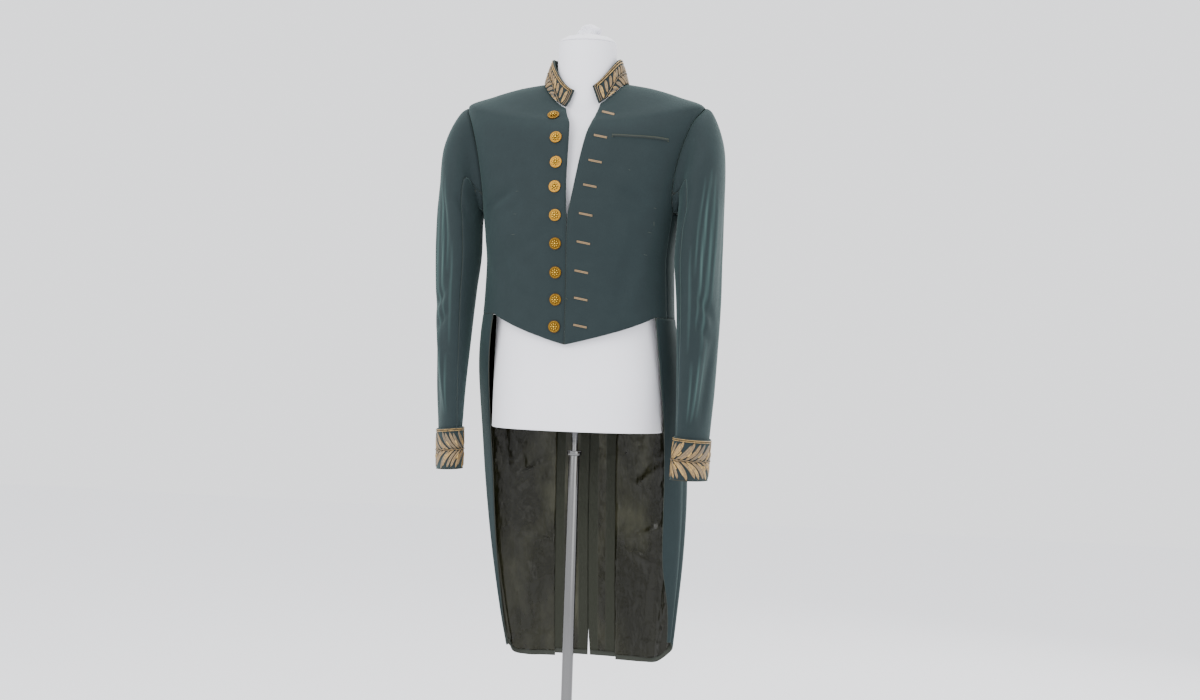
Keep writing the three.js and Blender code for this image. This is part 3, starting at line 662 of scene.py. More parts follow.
class Finish:
    """A material built node by node from its shader."""

    def __init__(self, name, color, roughness, metallic=0.0, sheen=0.0, sheen_color=(1, 1, 1, 1),
                 specular=0.5):
        self.material = bpy.data.materials.new(name)
        self.material.use_nodes = True
        self.nodes, self.links = self.material.node_tree.nodes, self.material.node_tree.links
        self.shader = self.nodes["Principled BSDF"]
        for socket, value in (
            ("Base Color", color), ("Roughness", roughness), ("Metallic", metallic), ("Sheen Weight", sheen),
            ("Sheen Tint", sheen_color), ("Specular IOR Level", specular),
        ):
            self.shader.inputs[socket].default_value = value
        self.material.diffuse_color = color
        self.heights = []

    def node(self, kind, inputs=(), **settings):
        node = self.nodes.new(kind)
        for key, value in settings.items():
            setattr(node, key, value)
        for key, value in dict(inputs).items():
            if isinstance(value, bpy.types.NodeSocket):
                self.links.new(value, node.inputs[key])
            else:
                node.inputs[key].default_value = value
        return node

    def cloth(self):
        return self.node("ShaderNodeUVMap", uv_map="Cloth").outputs["UV"]

    def value(self, name):
        return self.node("ShaderNodeAttribute", attribute_name=name).outputs["Fac"]

    def noise(self, scale, detail=3, stretch=None):
        where = self.node("ShaderNodeTexCoord").outputs["Object"]
        if stretch:
            where = self.node("ShaderNodeMapping", {"Vector": where, "Scale": stretch}).outputs["Vector"]
        inputs = {"Vector": where, "Scale": scale, "Detail": detail}
        return self.node("ShaderNodeTexNoise", inputs).outputs["Fac"]

    def bands(self, scale, direction="X"):
        inputs = {"Vector": self.cloth(), "Scale": scale, "Distortion": 0.0}
        return self.node("ShaderNodeTexWave", inputs, bands_direction=direction).outputs["Fac"]

    def ramp(self, fac, *stops):
        ramp = self.node("ShaderNodeValToRGB", {"Fac": fac})
        elements = ramp.color_ramp.elements
        while len(elements) < len(stops):
            elements.new(0.5)
        for element, (position, color) in zip(elements, stops):
            element.position, element.color = position, color
        return ramp.outputs["Color"]

    def mix(self, fac, a, b):
        return self.node("ShaderNodeMix", {0: fac, 6: a, 7: b}, data_type="RGBA").outputs[2]

    def ranged(self, value, low, high, to_low=0.0, to_high=1.0):
        return self.node("ShaderNodeMapRange", {"Value": value, "From Min": low, "From Max": high,
                                                "To Min": to_low, "To Max": to_high}).outputs["Result"]

    def color(self, socket):
        self.links.new(socket, self.shader.inputs["Base Color"])

    def rough(self, socket):
        self.links.new(socket, self.shader.inputs["Roughness"])

    def bump(self, height, strength, distance):
        inputs = {"Height": height, "Strength": strength, "Distance": distance}
        if self.heights:
            inputs["Normal"] = self.heights[-1]
        self.heights.append(self.node("ShaderNodeBump", inputs).outputs["Normal"])
        self.links.new(self.heights[-1], self.shader.inputs["Normal"])


def shaded(color, *shares):
    """A colour with each channel at a share of its own; one share goes for all three."""
    shares = shares if len(shares) == 3 else shares * 3
    return tuple(c * share for c, share in zip(color[:3], shares)) + (1,)


def wool(settings):
    color = settings.cloth_color
    f = Finish("wool twill", color, 0.8, sheen=0.22, sheen_color=linear(140, 175, 170), specular=0.25)
    dark, light = shaded(color, 0.72, 0.74, 0.76), shaded(color, 1.3, 1.3, 1.28)
    nap = f.mix(f.noise(35, 4), dark, light)
    thread = f.mix(f.ranged(f.noise(1400, 2), 0.35, 0.65), nap, dark)
    # Painted highlight: a lighter teal painted along the sleeves' pressed ridges, standing in for the light
    # they catch.
    ridge_highlight = f.mix(f.ranged(f.value("RidgeHighlight"), 0.0, 1.0, 0.0, 0.5), thread, linear(82, 112, 108))
    inside = f.mix(f.value("Inside"), ridge_highlight, linear(46, 48, 42))
    worn = f.ranged(f.value("Edge"), 0.0, 0.0012, 0.07, 0.0)
    f.color(f.mix(worn, inside, linear(112, 98, 74)))
    f.bump(f.bands(430, "DIAGONAL"), 0.18, 0.0003)
    f.bump(f.noise(120, 4), 0.25, 0.0012)
    return f.material


def satin(settings):
    f = Finish("satin lining", settings.lining_color, 0.3, specular=0.24)
    base = tuple(settings.lining_color)
    # Painted sheen and shade: a noise ramp paints darker patches and lighter cloudy sheen streaks into the
    # satin's colour.
    painted_sheen_and_shade = f.ramp(f.noise(11, 7, stretch=(1, 1, 0.5)), (0.36, shaded(base, 0.7)), (0.5, base),
                   (0.6, linear(38, 38, 26)), (0.74, linear(62, 62, 48)))
    f.color(f.mix(f.value("Facing"), painted_sheen_and_shade, linear(34, 36, 27)))
    f.rough(f.ranged(f.value("Facing"), 0, 1, 0.24, 0.75))
    f.bump(f.noise(13, 4, stretch=(1, 1, 0.55)), 1.0, 0.02)
    f.bump(f.bands(600), 0.08, 0.0002)
    return f.material


def bullion(settings):
    f = Finish("bullion thread", settings.bullion_color, 0.42, metallic=0.35, specular=0.6)
    across = f.node("ShaderNodeSeparateXYZ", {"Vector": f.cloth()}).outputs["Y"]
    across = f.node("ShaderNodeMath", {0: across}, operation="ABSOLUTE").outputs[0]
    ridge = f.bands(150)
    tone = f.ramp(f.value("Tone"), (0.0, linear(96, 88, 76)), (0.35, linear(140, 122, 92)),
                  (0.6, tuple(settings.bullion_color)), (1.0, linear(232, 190, 104)))
    worn = f.mix(f.ranged(f.noise(240, 3), 0.4, 0.7), tone, linear(120, 100, 76))
    # Painted shade: the grooves between the bullion's coils are darkened.
    thread = f.mix(f.ranged(ridge, 0.0, 0.45, 0.6, 0.0), worn, linear(64, 54, 42))
    # Painted shade: a dark line down the middle of each leaf, in its vein's groove.
    vein_shade = f.mix(f.ranged(across, 0.00006, 0.0002, 0.55, 0.0), thread, linear(58, 48, 36))
    # Painted shade: leaf and cord edges darken to near black where they meet the cloth, between the raised
    # pieces.
    f.color(f.mix(f.ranged(across, 0.00062, 0.00085, 0.0, 0.92), vein_shade, linear(34, 34, 30)))
    f.bump(ridge, 0.7, 0.0006)
    return f.material


def gold(settings):
    f = Finish("gilt metal", settings.gold_color, 0.24, metallic=1.0)
    gilt = f.mix(f.noise(260, 3), tuple(settings.gold_color), linear(240, 202, 92))
    black, white = (0, 0, 0, 1), (1, 1, 1, 1)
    # Painted shade: dark brown bands at set heights of the relief stand for the shade in its hollows and
    # grooves.
    raised = f.ramp(f.value("Relief"), (0.42, black), (0.5, white), (0.57, white), (0.62, black),
                    (0.76, black), (0.81, white))
    f.color(f.mix(raised, linear(112, 80, 26), gilt))
    f.rough(f.ranged(f.noise(400, 3), 0.3, 0.7, 0.2, 0.38))
    return f.material


def jersey(settings):
    f = Finish("white jersey", settings.form_color, 0.8, sheen=0.3)
    f.color(f.mix(f.noise(18, 3), tuple(settings.form_color), shaded(settings.form_color, 0.94)))
    f.bump(f.noise(900, 2), 0.15, 0.0004)
    return f.material


def plain(name, color, roughness, metallic=0.0, scale=60):
    f = Finish(name, color, roughness, metallic)
    f.rough(f.ranged(f.noise(scale, 2), 0.3, 0.7, roughness * 0.85, roughness * 1.15))
    return f.material


MAKERS = {"wool twill": wool, "satin lining": satin, "bullion thread": bullion, "gilt metal": gold,
          "white jersey": jersey}


def finish(name, settings):
    """Each finish is made once and shared by the pieces that have it."""
    if name not in bpy.data.materials:
        MAKERS[name](settings)
    return bpy.data.materials[name]


# ---- settings ----
def color_setting(name, description, default):
    return bpy.props.FloatVectorProperty(name=name, description=description, default=default, size=4,
                                         min=0.0, max=1.0, subtype="COLOR")


def length_setting(name, description, default, low, high):
    return bpy.props.FloatProperty(name=name, description=description, default=default, min=low, max=high,
                                   unit="LENGTH", subtype="DISTANCE")


def power_setting(name, description, default):
    return bpy.props.FloatProperty(name=name, description=description, default=default, min=0.0, max=500.0,
                                   unit="POWER")


class TailcoatCloth(bpy.types.PropertyGroup):
    """Colours of the coat, its lining, its embroidery and its buttons."""

    cloth_color: color_setting("Cloth", "Colour of the wool cloth", linear(27, 38, 40))
    lining_color: color_setting("Lining", "Colour of the satin lining", linear(21, 21, 9))
    bullion_color: color_setting("Bullion", "Colour of the middle tone of thread", linear(172, 138, 84))
    gold_color: color_setting("Gilt", "Colour of the buttons", linear(222, 178, 66))
    form_color: color_setting("Form", "Colour of the dress form's jersey", linear(232, 232, 238))


class TailcoatSizes(bpy.types.PropertyGroup):
    """Sizes of what is worked on the cloth."""

    leaf_height: length_setting("Leaf height", "How far a padded leaf stands proud", 0.0015, 0.0005, 0.003)
    cord_radius: length_setting("Cord radius", "Radius of the border cords", 0.0009, 0.0005, 0.002)
    hole_length: length_setting("Buttonhole", "Length of a buttonhole", 0.022, 0.015, 0.03)
    button_radius: length_setting("Button radius", "Radius of a button", 0.011, 0.008, 0.014)


class TailcoatStage(bpy.types.PropertyGroup):
    """The studio."""

    key_power: power_setting("Key light", "Power of the key light", 120.0)
    fill_power: power_setting("Fill light", "Power of the fill light", 34.0)
    camera_distance: length_setting("Camera distance", "From the stand's axis", 3.0, 1.0, 10.0)


# ---- operators: one for each piece or group of like pieces ----
class Step(bpy.types.Operator):
    bl_options = {"REGISTER", "UNDO"}

    def execute(self, context):
        scene = context.scene
        self.build(scene.tailcoat_cloth, scene.tailcoat_sizes)
        return {"FINISHED"}


def plain_folds(side, row, angle, points):
    return body_folds(points)


def hang_panel(name, side, low_of, first, angle_of, columns, settings, high=NECK_ROW, folds=plain_folds,
               shift=0.0, thick=CLOTH, key=("wool_cloth", "wool twill"), seam=0.45):
    """Cuts a panel of the body's surface, lays its folds in it and hangs it on the form."""
    row, angle = panel_grid(side, low_of, first, high, lambda row, u: angle_of(side, row, u), columns)
    points, normal = on_body(row, angle), normals(on_body, row, angle)
    slot, look = key
    return cloth_wall(f"{name}_{word(side)}", points, normal, slot, finish(look, settings), thick=thick,
                      seam=seam, shift=shift, outward=folds(side, row, angle, points))


def level_hem(row):
    """A panel's lower edge that keeps to one row."""
    return lambda u: np.full(u.shape, row)


class TAILCOAT_OT_body(Step):
    """Hangs the fronts, the side bodies and the backs with their tails."""

    bl_idname = "tailcoat.body"
    bl_label = "Body of the Coat"

    def build(self, settings, sizes):
        low_side, low_back = WAIST_ROW + SEAM_ROW, float(level_row(HEM + HEM_STEP))
        for side in (-1, 1):
            self.front(side, settings)
            hang_panel("side_body", side, level_hem(low_side), low_side,
                       lambda side, row, u: lerp(SIDE_SEAM, back_outer(row, side), u), 30, settings,
                       high=ARMPIT_ROW - SEAM_ROW)
            hang_panel("back", side, level_hem(low_back), low_back,
                       lambda side, row, u: lerp(back_outer(row, side), tail_edge(row, side), u), 40,
                       settings)

    def front(self, side, settings):
        low, corner = WAIST_ROW + SEAM_ROW, 5 / 7  # share of the columns in front of the hem's corner
        edge = float(front_edge(np.array(low), side))
        share = float((skirt_edge(np.array(float(WAIST_ROW)), side) - 0.5 - edge) / (SIDE_SEAM - edge))

        def width(u):
            return np.where(u <= corner, share * u / corner, lerp(share, 1, (u - corner) / (1 - corner)))

        def hem(u):
            level = lerp(FRONT_POINT, WAIST + 0.5, np.minimum(1, u / corner))
            return np.minimum(low, level_row(level))

        hang_panel("front", side, hem, WAIST_ROW + 0.5,
                   lambda side, row, u: lerp(front_edge(row, side), front_outer(row), width(u)), 56, settings)


def corner_rise(side, angle):
    radius = CORNER[word(side)]
    past = np.clip(BODY[0, 5] * (1 - np.sin(np.radians(angle))) / radius, 0, 1)
    return np.where(angle <= 90, radius, radius * (1 - np.sqrt(1 - (1 - past) ** 2)))


def skirt_low(side, low):
    bottom = np.array(float(level_row(low)))
    edge, rear = float(skirt_edge(bottom, side)), float(back_outer(bottom, side))
    return lambda u: level_row(low + corner_rise(side, lerp(edge, rear, u)))


class TAILCOAT_OT_skirts(Step):
    """Hangs the two side skirts with their rounded front corners."""

    bl_idname = "tailcoat.skirts"
    bl_label = "Side Skirts"

    def build(self, settings, sizes):
        for side in (-1, 1):
            hang_panel("skirt", side, skirt_low(side, HEM), 1,
                       lambda side, row, u: lerp(skirt_edge(row, side), back_outer(row, side), u), 64,
                       settings, high=WAIST_ROW - SEAM_ROW, folds=skirt_folds)


# Creases of the lining, seen from the front: x and z of both ends, width, depth towards the inside.
LINING_FOLDS = [
    (-140, 768, -76, 808, 7, 4.3), (-132, 742, -70, 775, 8, 3.0), (-136, 655, -70, 650, 7, 4.1),
    (-130, 560, -66, 590, 9, 3.0), (-120, 700, -104, 470, 10, 2.6), (142, 800, 84, 760, 8, 4.1),
    (150, 690, 80, 660, 8, 3.7), (146, 610, 74, 640, 9, 3.0), (128, 720, 112, 480, 11, 3.0),
    (-170, 900, -130, 640, 11, 3.7), (172, 905, 140, 640, 11, 3.7), (60, 560, 20, 585, 8, 2.0),
    (-50, 700, -12, 720, 8, 1.7), (52, 820, 16, 800, 8, 2.0),
]


def lining_folds(points):
    x, z = points[..., 0], points[..., 2]
    out = -0.4 - 0.4 * np.sin(x / 13 + z / 41) * np.sin(z / 57)
    for x0, z0, x1, z1, width, depth in LINING_FOLDS:
        off, along = to_line(x, z, x0, z0, x1, z1)
        out -= depth * (0.3 + 0.7 * np.sin(np.pi * along)) * bell(off, width)
    return np.minimum(out - 1.2 * bell(z - HEM - HEM_CREASE, 6), 0)


def skirt_lining_folds(side, row, angle, points):
    return lining_folds(points) + np.minimum(skirt_folds(side, row, angle, points), 0)


def back_lining_folds(side, row, angle, points):
    return lining_folds(points) + np.minimum(body_folds(points), 0)


class TAILCOAT_OT_linings(Step):
    """Lays the satin linings inside the tails."""

    bl_idname = "tailcoat.linings"
    bl_label = "Linings"

    def build(self, settings, sizes):
        low = float(level_row(HEM + HEM_STEP + TAIL_INSET))
        common = {"high": LINING_TOP, "shift": -CLOTH - LINING_GAP, "thick": LINING, "seam": 0.2,
                  "key": ("lining", "satin lining")}
        for side in (-1, 1):
            skirt = hang_panel(
                "skirt_lining", side, skirt_low(side, HEM + TAIL_INSET), 1,
                lambda side, row, u: lerp(skirt_edge(row, side) + 1.5, back_outer(row, side) - 0.1, u),
                60, settings, folds=skirt_lining_folds, **common)
            back = hang_panel(
                "back_lining", side, level_hem(low), low,
                lambda side, row, u: lerp(back_outer(row, side) + 0.1, tail_edge(row, side) - 0.2, u),
                36, settings, folds=back_lining_folds, **common)
            self.facing(skirt, "start" if side > 0 else "end", SKIRT_FACING)
            self.facing(back, "both", BACK_FACING)

    def facing(self, obj, ends, width):
        """Marks the matt strips along the edges of a lining."""
        mesh = obj.data
        uv, index = np.empty(2 * len(mesh.loops)), np.empty(len(mesh.loops), int)
        mesh.uv_layers["Cloth"].data.foreach_get("uv", uv)
        mesh.loops.foreach_get("vertex_index", index)
        place = np.zeros(len(mesh.vertices))
        place[index] = uv[::2]
        rest = place.max() - place
        near = {"start": place, "end": rest, "both": np.minimum(place, rest)}[ends]
        mark = np.clip((width - near) / FACING_BLUR, 0, 1)
        mesh.attributes.new("Facing", "FLOAT", "POINT").data.foreach_set("value", mark)


class TAILCOAT_OT_sleeves(Step):
    """Sets in the top and under sleeves."""

    bl_idname = "tailcoat.sleeves"
    bl_label = "Sleeves"

    def build(self, settings, sizes):
        start, end = TOP_SLEEVE
        for side in (-1, 1):
            for name, low, high, columns in (
                ("top_sleeve", start + SLEEVE_SEAM, end - SLEEVE_SEAM, 58),
                ("under_sleeve", end + SLEEVE_SEAM, 360 + start - SLEEVE_SEAM, 34),
            ):
                self.sleeve(side, name, low, high, columns, settings)

    def sleeve(self, side, name, low, high, columns, settings):
        surface = sleeve_surface(side)
        at = np.linspace(SLEEVE_END, 0.02, 500)
        run = run_along(surface(-at, np.full(at.shape, side * 10.0)))
        rows = np.interp(np.linspace(0, run[-1], 150), run, at)
        first, last = (low, high) if side > 0 else (-high, -low)
        row, angle = np.meshgrid(-rows, np.linspace(first, last, columns), indexing="ij")
        points, normal = surface(row, angle), normals(surface, row, angle)
        ridge = sleeve_ridges(side, angle, points)
        outward = sleeve_folds(side, angle, points) + RIDGE_HEIGHT * ridge
        cloth_wall(f"{name}_{word(side)}", points, normal, "wool_cloth", finish("wool twill", settings),
                   thick=CLOTH, seam=0.3, outward=outward, ridge=ridge)


LEAF_PITCH, CUFF_PITCH = 8.4, 10.2  # between leaves along the collar and round a cuff


def branch(work, chart, start, way, reach, sizes, seed):
    """Leaves on both sides of a stem that runs along a band from start, way being 1 or -1."""
    height = sizes.leaf_height * 1000
    stem = [(start + way * k * LEAF_PITCH, chart.height * lerp(0.08, 0.43, min(1, k / 4) ** 0.8))
            for k in range(int(reach / LEAF_PITCH) + 1)]
    for k, (s, t) in enumerate(stem[:-1]):
        lean = lerp(4, 43, min(1, k / 3)) + vary(k + seed, -3, 3)
        up = (chart.height - 9 - t) / math.cos(math.radians(max(lean - 6, 0)))
        work.leaf(chart, s - way * 1.5, t + 1, way * lean, up, 7.0, -way * 12,
                  vary(k * 2 + seed, 0.3, 0.8), height)
        down = (t - 1) / math.cos(math.radians(52))
        if down > 7:
            work.leaf(chart, s + way * 2, t - 1, way * (124 + vary(k, -4, 4)), down, 6.6, way * 28,
                      vary(k * 3 + 5 + seed, 0.3, 0.85), height * 0.95)
    work.cord(chart, stem, 0.7, 0.35, 0.9)
    s, t = stem[0]
    work.leaf(chart, s + way * 14, t + 1.5, way * 84, 13, 4.4, way * 34, 0.0, height, 0.6)
    work.leaf(chart, s + way * 5, t - 0.5, way * 92, 17, 5.4, -way * 10, 1.0, height, 0.4)


class TAILCOAT_OT_collar(Step):
    """Sets the standing collar on the neck with its leafy branches and border cords."""

    bl_idname = "tailcoat.collar"
    bl_label = "Collar"

    def build(self, settings, sizes):
        rows = np.linspace(0, len(COLLAR) - 1, 16)
        ends = between(COLLAR, rows)
        share = np.linspace(0, 1, 130)[None, :]
        row = np.repeat(rows[:, None], 130, axis=1)
        angle = lerp(ends[:, 7:8], 360 + ends[:, 6:7], share)
        points, normal = collar_point(row, angle), normals(collar_point, row, angle)
        cloth_wall("collar", points, normal, "embroidery", finish("wool twill", settings), thick=COLLAR_WALL,
                   seam=0.5)
        u, v, _ = measured(points)
        chart = CollarChart(collar_point, float(u[8, -1]), float(v[-1, 0]), 0.0)
        work, wide, top = Stitching(), chart.width, chart.height
        half = wide / 2
        branch(work, chart, 12, 1, half - 9, sizes, 1)
        branch(work, chart, wide - 12, -1, half - 9, sizes, 40)
        radius = sizes.cord_radius * 1000
        for inset in (3.4, 6.3):
            path = [(inset, top - inset - 2), (inset + 2, top - inset), (wide - inset - 2, top - inset),
                    (wide - inset, top - inset - 2)]
            work.cord(chart, path, radius, 0.78)
            for end in (inset, wide - inset):
                work.cord(chart, [(end, 3), (end, top - inset - 2)], radius, 0.22)
        work.finish("collar_embroidery", "embroidery", finish("bullion thread", settings))


class TAILCOAT_OT_cuffs(Step):
    """Puts the cuffs round the sleeves with their curved leaves and border cords."""

    bl_idname = "tailcoat.cuffs"
    bl_label = "Cuffs"

    def build(self, settings, sizes):
        for side in (-1, 1):
            surface = sleeve_surface(side, CLOTH + CLEAR)
            turns = np.linspace(0, 360, 96, endpoint=False)
            row, angle = np.meshgrid(-cuff_row(np.linspace(0, 1, 22)), turns, indexing="ij")
            points, normal = surface(row, angle), normals(surface, row, angle)
            cloth_wall(f"cuff_{word(side)}", points, normal, "embroidery", finish("wool twill", settings),
                       thick=CUFF_WALL, seam=0.4, shift=CUFF_LIFT,
                       loop=True)
            u, v, _ = measured(np.concatenate([points, points[:, :1]], axis=1))
            chart = CuffChart(surface, float(u[11, -1]), float(v[-1, 0]), CUFF_LIFT)
            self.leaves(side, chart, sizes, settings)

    def leaves(self, side, chart, sizes, settings):
        work, wide, top = Stitching(), chart.width, chart.height
        stem, count = top * 0.47, round(wide / CUFF_PITCH)
        height, reach = sizes.leaf_height * 1000, math.cos(math.radians(38))
        up, down = (top - 5 - stem) / reach, (stem - 1) / reach
        for k in range(count):
            s = (k + 0.5) * wide / count
            turn = vary(k + 9 * side, -7, 7)
            work.leaf(chart, s, stem + 1, side * (58 + turn), up, 7.6, -side * 46,
                      vary(k * 2 + side, 0.15, 0.8), height)
            work.leaf(chart, s + 3, stem - 1, side * (122 + turn), down, 7.6, side * 46,
                      vary(k * 3 + side, 0.15, 0.85), height * 0.95)
            if k % 2 == 0:
                work.leaf(chart, s + 4, stem + 7, side * (50 + turn), 12, 3.6, -side * 30, 1.0, height, 0.5)
            if k % 3 == 0:
                work.leaf(chart, s + 7, stem - 7, side * (130 + turn), 12, 3.6, side * 30, 1.0, height, 0.5)
        loop = [(wide * k / 60, stem + 0.7 * math.sin(k * 0.9)) for k in range(61)]
        work.cord(chart, loop, 0.9, 0.5, 0.9)
        radius = sizes.cord_radius * 1000
        for inset in (2.6, 5.4):
            work.cord(chart, [(wide * k / 60, top - inset) for k in range(61)], radius, 0.78)
        work.finish(f"cuff_embroidery_{word(side)}", "embroidery", finish("bullion thread", settings))


def front_place(x, z):
    """Row and angle of the point of the coat's front at x and z."""
    row = float(level_row(z))
    for _ in range(12):
        angle = float(angle_at(np.array(row), x, False))
        row += (z - float(on_body(np.array(row), angle)[2])) / 45
    return row, float(angle_at(np.array(row), x, False))


class FrontChart(Chart):
    """The coat's front, by x and z themselves."""

    def __init__(self):
        super().__init__(on_body, 1, 1, 0.0)

    def where(self, s, t):
        return np.vectorize(front_place)(s, t)

    def lift(self, s, t, off):
        row, angle = self.where(s, t)
        point, normal = on_body(row, angle), normals(on_body, row, angle)
        return point + normal * (np.asarray(off) + body_folds(point))[..., None]


# Bar tacks and loose threads on the fronts: x and z of both ends, radius.
MARKS = [
    (-96, 1286, -91, 1286, 0.28), (-99, 1246, -93, 1246, 0.28), (-101, 1210, -95, 1210, 0.3),
    (146, 1262, 150, 1261, 0.28), (147, 1238, 147, 1231, 0.28), (138, 1220, 143, 1219, 0.28),
    (131, 1181, 136, 1180, 0.28), (104, 1326, 106, 1325, 0.4), (3, 1101, 6, 1099, 0.4),
]
HOLE_INSETS = (12, 17, 19, 19, 22, 20, 17, 17, 17)  # of the buttonholes, from the left front's edge
POCKET = [(72, 1386), (100, 1385), (130, 1384), (150, 1383), (166, 1381)]  # x and z along its lip


class TAILCOAT_OT_sewing(Step):
    """Works the buttonholes, the breast pocket and the bar tacks."""

    bl_idname = "tailcoat.sewing"
    bl_label = "Buttonholes and Pocket"

    def build(self, settings, sizes):
        thread = plain("silk thread", linear(136, 112, 80), 0.6, scale=900)
        chart, work, tacks = FrontChart(), Stitching(), Stitching()
        length = sizes.hole_length * 1000
        for k, (level, _) in enumerate(BUTTONS):
            row = float(row_at(BODY, 0, level + 2))
            near = float(look_up(FRONT_EDGE, 0, np.array(row))[2]) + HOLE_INSETS[k]
            drop = 6 if k == 0 else 4
            middle = on_body(np.array(row), float(angle_at(np.array(row), near + length / 2, False)))[2]
            line = [(near, middle + drop / 2), (near + length, middle - drop / 2)]
            for gap in (-0.9, 0.9):
                work.cord(chart, [(x, z + gap) for x, z in line], 0.75, 0.5)
            bar, high = near - 0.6, middle + drop / 2
            work.cord(chart, [(bar, high + 1.6), (bar, high - 1.6)], 0.8, 0.5)
        for x0, z0, x1, z1, radius in MARKS:
            tacks.cord(chart, [(x0, z0), (x1, z1)], radius, 0.3)
        work.finish("buttonholes", "wool_cloth", thread)
        tacks.finish("bar_tacks", "wool_cloth", plain("tack thread", linear(58, 66, 58), 0.8, scale=900))
        self.pocket(settings, chart)

    def pocket(self, settings, chart):
        welt, edge = Stitching(), Stitching()
        welt.cord(chart, POCKET, 1.8, 0.0)
        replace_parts(welt.finish("pocket_lip", "wool_cloth", finish("wool twill", settings)), "pocket_welt")
        edge.cord(chart, [(x, z + 1.9) for x, z in POCKET], 0.5, 0.2)
        for x, z in (POCKET[0], POCKET[-1]):
            edge.cord(chart, [(x, z + 2.4), (x, z - 3.0)], 0.5, 0.2)
        edge.finish("pocket_thread", "wool_cloth", plain("olive thread", linear(66, 68, 46), 0.8, scale=900))


def alone(obj):
    """Makes obj the only selected and active object."""
    bpy.ops.object.select_all(action="DESELECT")
    obj.select_set(True)
    bpy.context.view_layer.objects.active = obj
    return obj


def seated(obj):
    alone(obj)
    bpy.ops.object.transform_apply(location=True, rotation=True, scale=True)
    return obj


def bevelled(obj, width, segments=3):
    modifier = obj.modifiers.new("Bevel", "BEVEL")
    modifier.width, modifier.segments, modifier.limit_method = width, segments, "ANGLE"
    alone(obj)
    bpy.ops.object.modifier_apply(modifier=modifier.name)
    bpy.ops.object.shade_smooth_by_angle(angle=math.radians(40))
    return obj


def select_top(obj, lowest):
    """Selects the faces of obj that lie flat above a height, in edit mode."""
    bpy.ops.mesh.select_all(action="DESELECT")
    mesh = bmesh.from_edit_mesh(obj.data)
    for face in mesh.faces:
        face.select = face.normal.z > 0.99 and face.calc_center_median().z > lowest
    bmesh.update_edit_mesh(obj.data)


# Steps of the button's dome, each an inset and a rise, in metres.
DOME = [
    (-0.0006, 0.0004), (0.0004, 0.0006), (0.0012, 0.0), (0.0004, -0.0007),
    (0.0006, 0.0003), (0.0016, 0.0009), (0.0022, 0.0006), (0.0022, 0.0003),
]
# Rings of the relief: share of the radius, count, radius and level of each grain, and its scale.
RELIEF = [(0.42, 8, 0.0019, 0.0032, (1.25, 0.55, 0.7)), (0.78, 24, 0.0005, 0.0024, (1, 1, 1))]


class TAILCOAT_OT_buttons(Step):
    """Turns one domed gilt button with a plain radial relief, and sews nine of them on."""

    bl_idname = "tailcoat.buttons"
    bl_label = "Buttons"

    def build(self, settings, sizes):
        pattern = self.pattern(sizes.button_radius)
        for k, (level, from_edge) in enumerate(BUTTONS):
            row = np.array(float(row_at(BODY, 0, level)))
            x = float(look_up(FRONT_EDGE, 0, row)[1]) - from_edge
            here = (row, np.array(float(angle_at(row, x, False))))
            normal = normals(on_body, *here)
            point = on_body(*here) + normal * (0.3 + max(0.0, float(body_folds(on_body(*here)))))
            turn = Vector((0, 0, 1)).rotation_difference(Vector(normal)).to_matrix().to_4x4()
            mesh = pattern.data.copy()
            mesh.transform(Matrix.Translation(Vector(point / 1000)) @ turn)
            button = bpy.data.objects.new(f"button_{k + 1}_gilt", mesh)
            bpy.context.scene.collection.objects.link(button)
            dress(button, "dressed_form", "button_metal", finish("gilt metal", settings))
            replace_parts(button, f"button_{k + 1}")
        bpy.data.objects.remove(pattern)

    def pattern(self, radius):
        bpy.ops.object.select_all(action="DESELECT")
        bpy.ops.mesh.primitive_cylinder_add(vertices=48, radius=radius * 0.94, depth=0.002,
                                            location=(0, 0, 0.001))
        button = bpy.context.object
        bpy.ops.object.mode_set(mode="EDIT")
        for thickness, depth in DOME:
            select_top(button, 0.0015)
            bpy.ops.mesh.inset(thickness=thickness, depth=depth)
        bpy.ops.object.mode_set(mode="OBJECT")
        petals = []
        for ring, count, size, level, scale in RELIEF:
            for k in range(count):
                turn = 2 * math.pi * k / count
                place = (radius * ring * math.cos(turn), radius * ring * math.sin(turn), level)
                bpy.ops.mesh.primitive_uv_sphere_add(segments=10, ring_count=6, radius=size, location=place,
                                                     rotation=(0, 0, turn))
                bpy.context.object.scale = scale
                petals.append(seated(bpy.context.object))
        bpy.ops.mesh.primitive_uv_sphere_add(segments=16, ring_count=8, radius=0.0017,
                                             location=(0, 0, 0.0038))
        petals.append(seated(bpy.context.object))
        seated(button)
        for petal in petals:
            petal.select_set(True)
        bpy.ops.object.join()
        bpy.ops.object.shade_smooth_by_angle(angle=math.radians(38))
        rise = button.data.attributes.new("Relief", "FLOAT", "POINT")
        heights = [vertex.co.z for vertex in button.data.vertices]
        rise.data.foreach_set("value", [height / max(heights) for height in heights])
        return button


def closed_rings(name, rings):
    """A closed smooth body from rings of points that run up its length."""
    rows, columns = rings.shape[:2]
    faces = []
    for i in range(rows - 1):
        for j in range(columns):
            k = (j + 1) % columns
            faces.append((i * columns + j, i * columns + k, (i + 1) * columns + k, (i + 1) * columns + j))
    points = np.concatenate([rings.reshape(-1, 3), rings[:1].mean(axis=1), rings[-1:].mean(axis=1)])
    for j in range(columns):
        k = (j + 1) % columns
        faces.append((rows * columns, k, j))
        faces.append((rows * columns + 1, (rows - 1) * columns + j, (rows - 1) * columns + k))
    return make_object(name, points, faces)


# Outline of the neck cap with its knot: radius and height over the neck.
CAP = [
    (0.3, 0), (50, 0), (52.2, 0.6), (51.6, 3), (49, 5.6), (44, 8.2), (36, 10.6), (27, 12.6),
    (20.5, 15), (18.4, 18), (19.6, 21), (21.2, 24), (20.8, 27), (18, 30), (12, 32.4), (0.3, 33),
]
CAP_PLEATS, KNOT_LEVEL, GATHER_LEVEL = 11, 16, 6


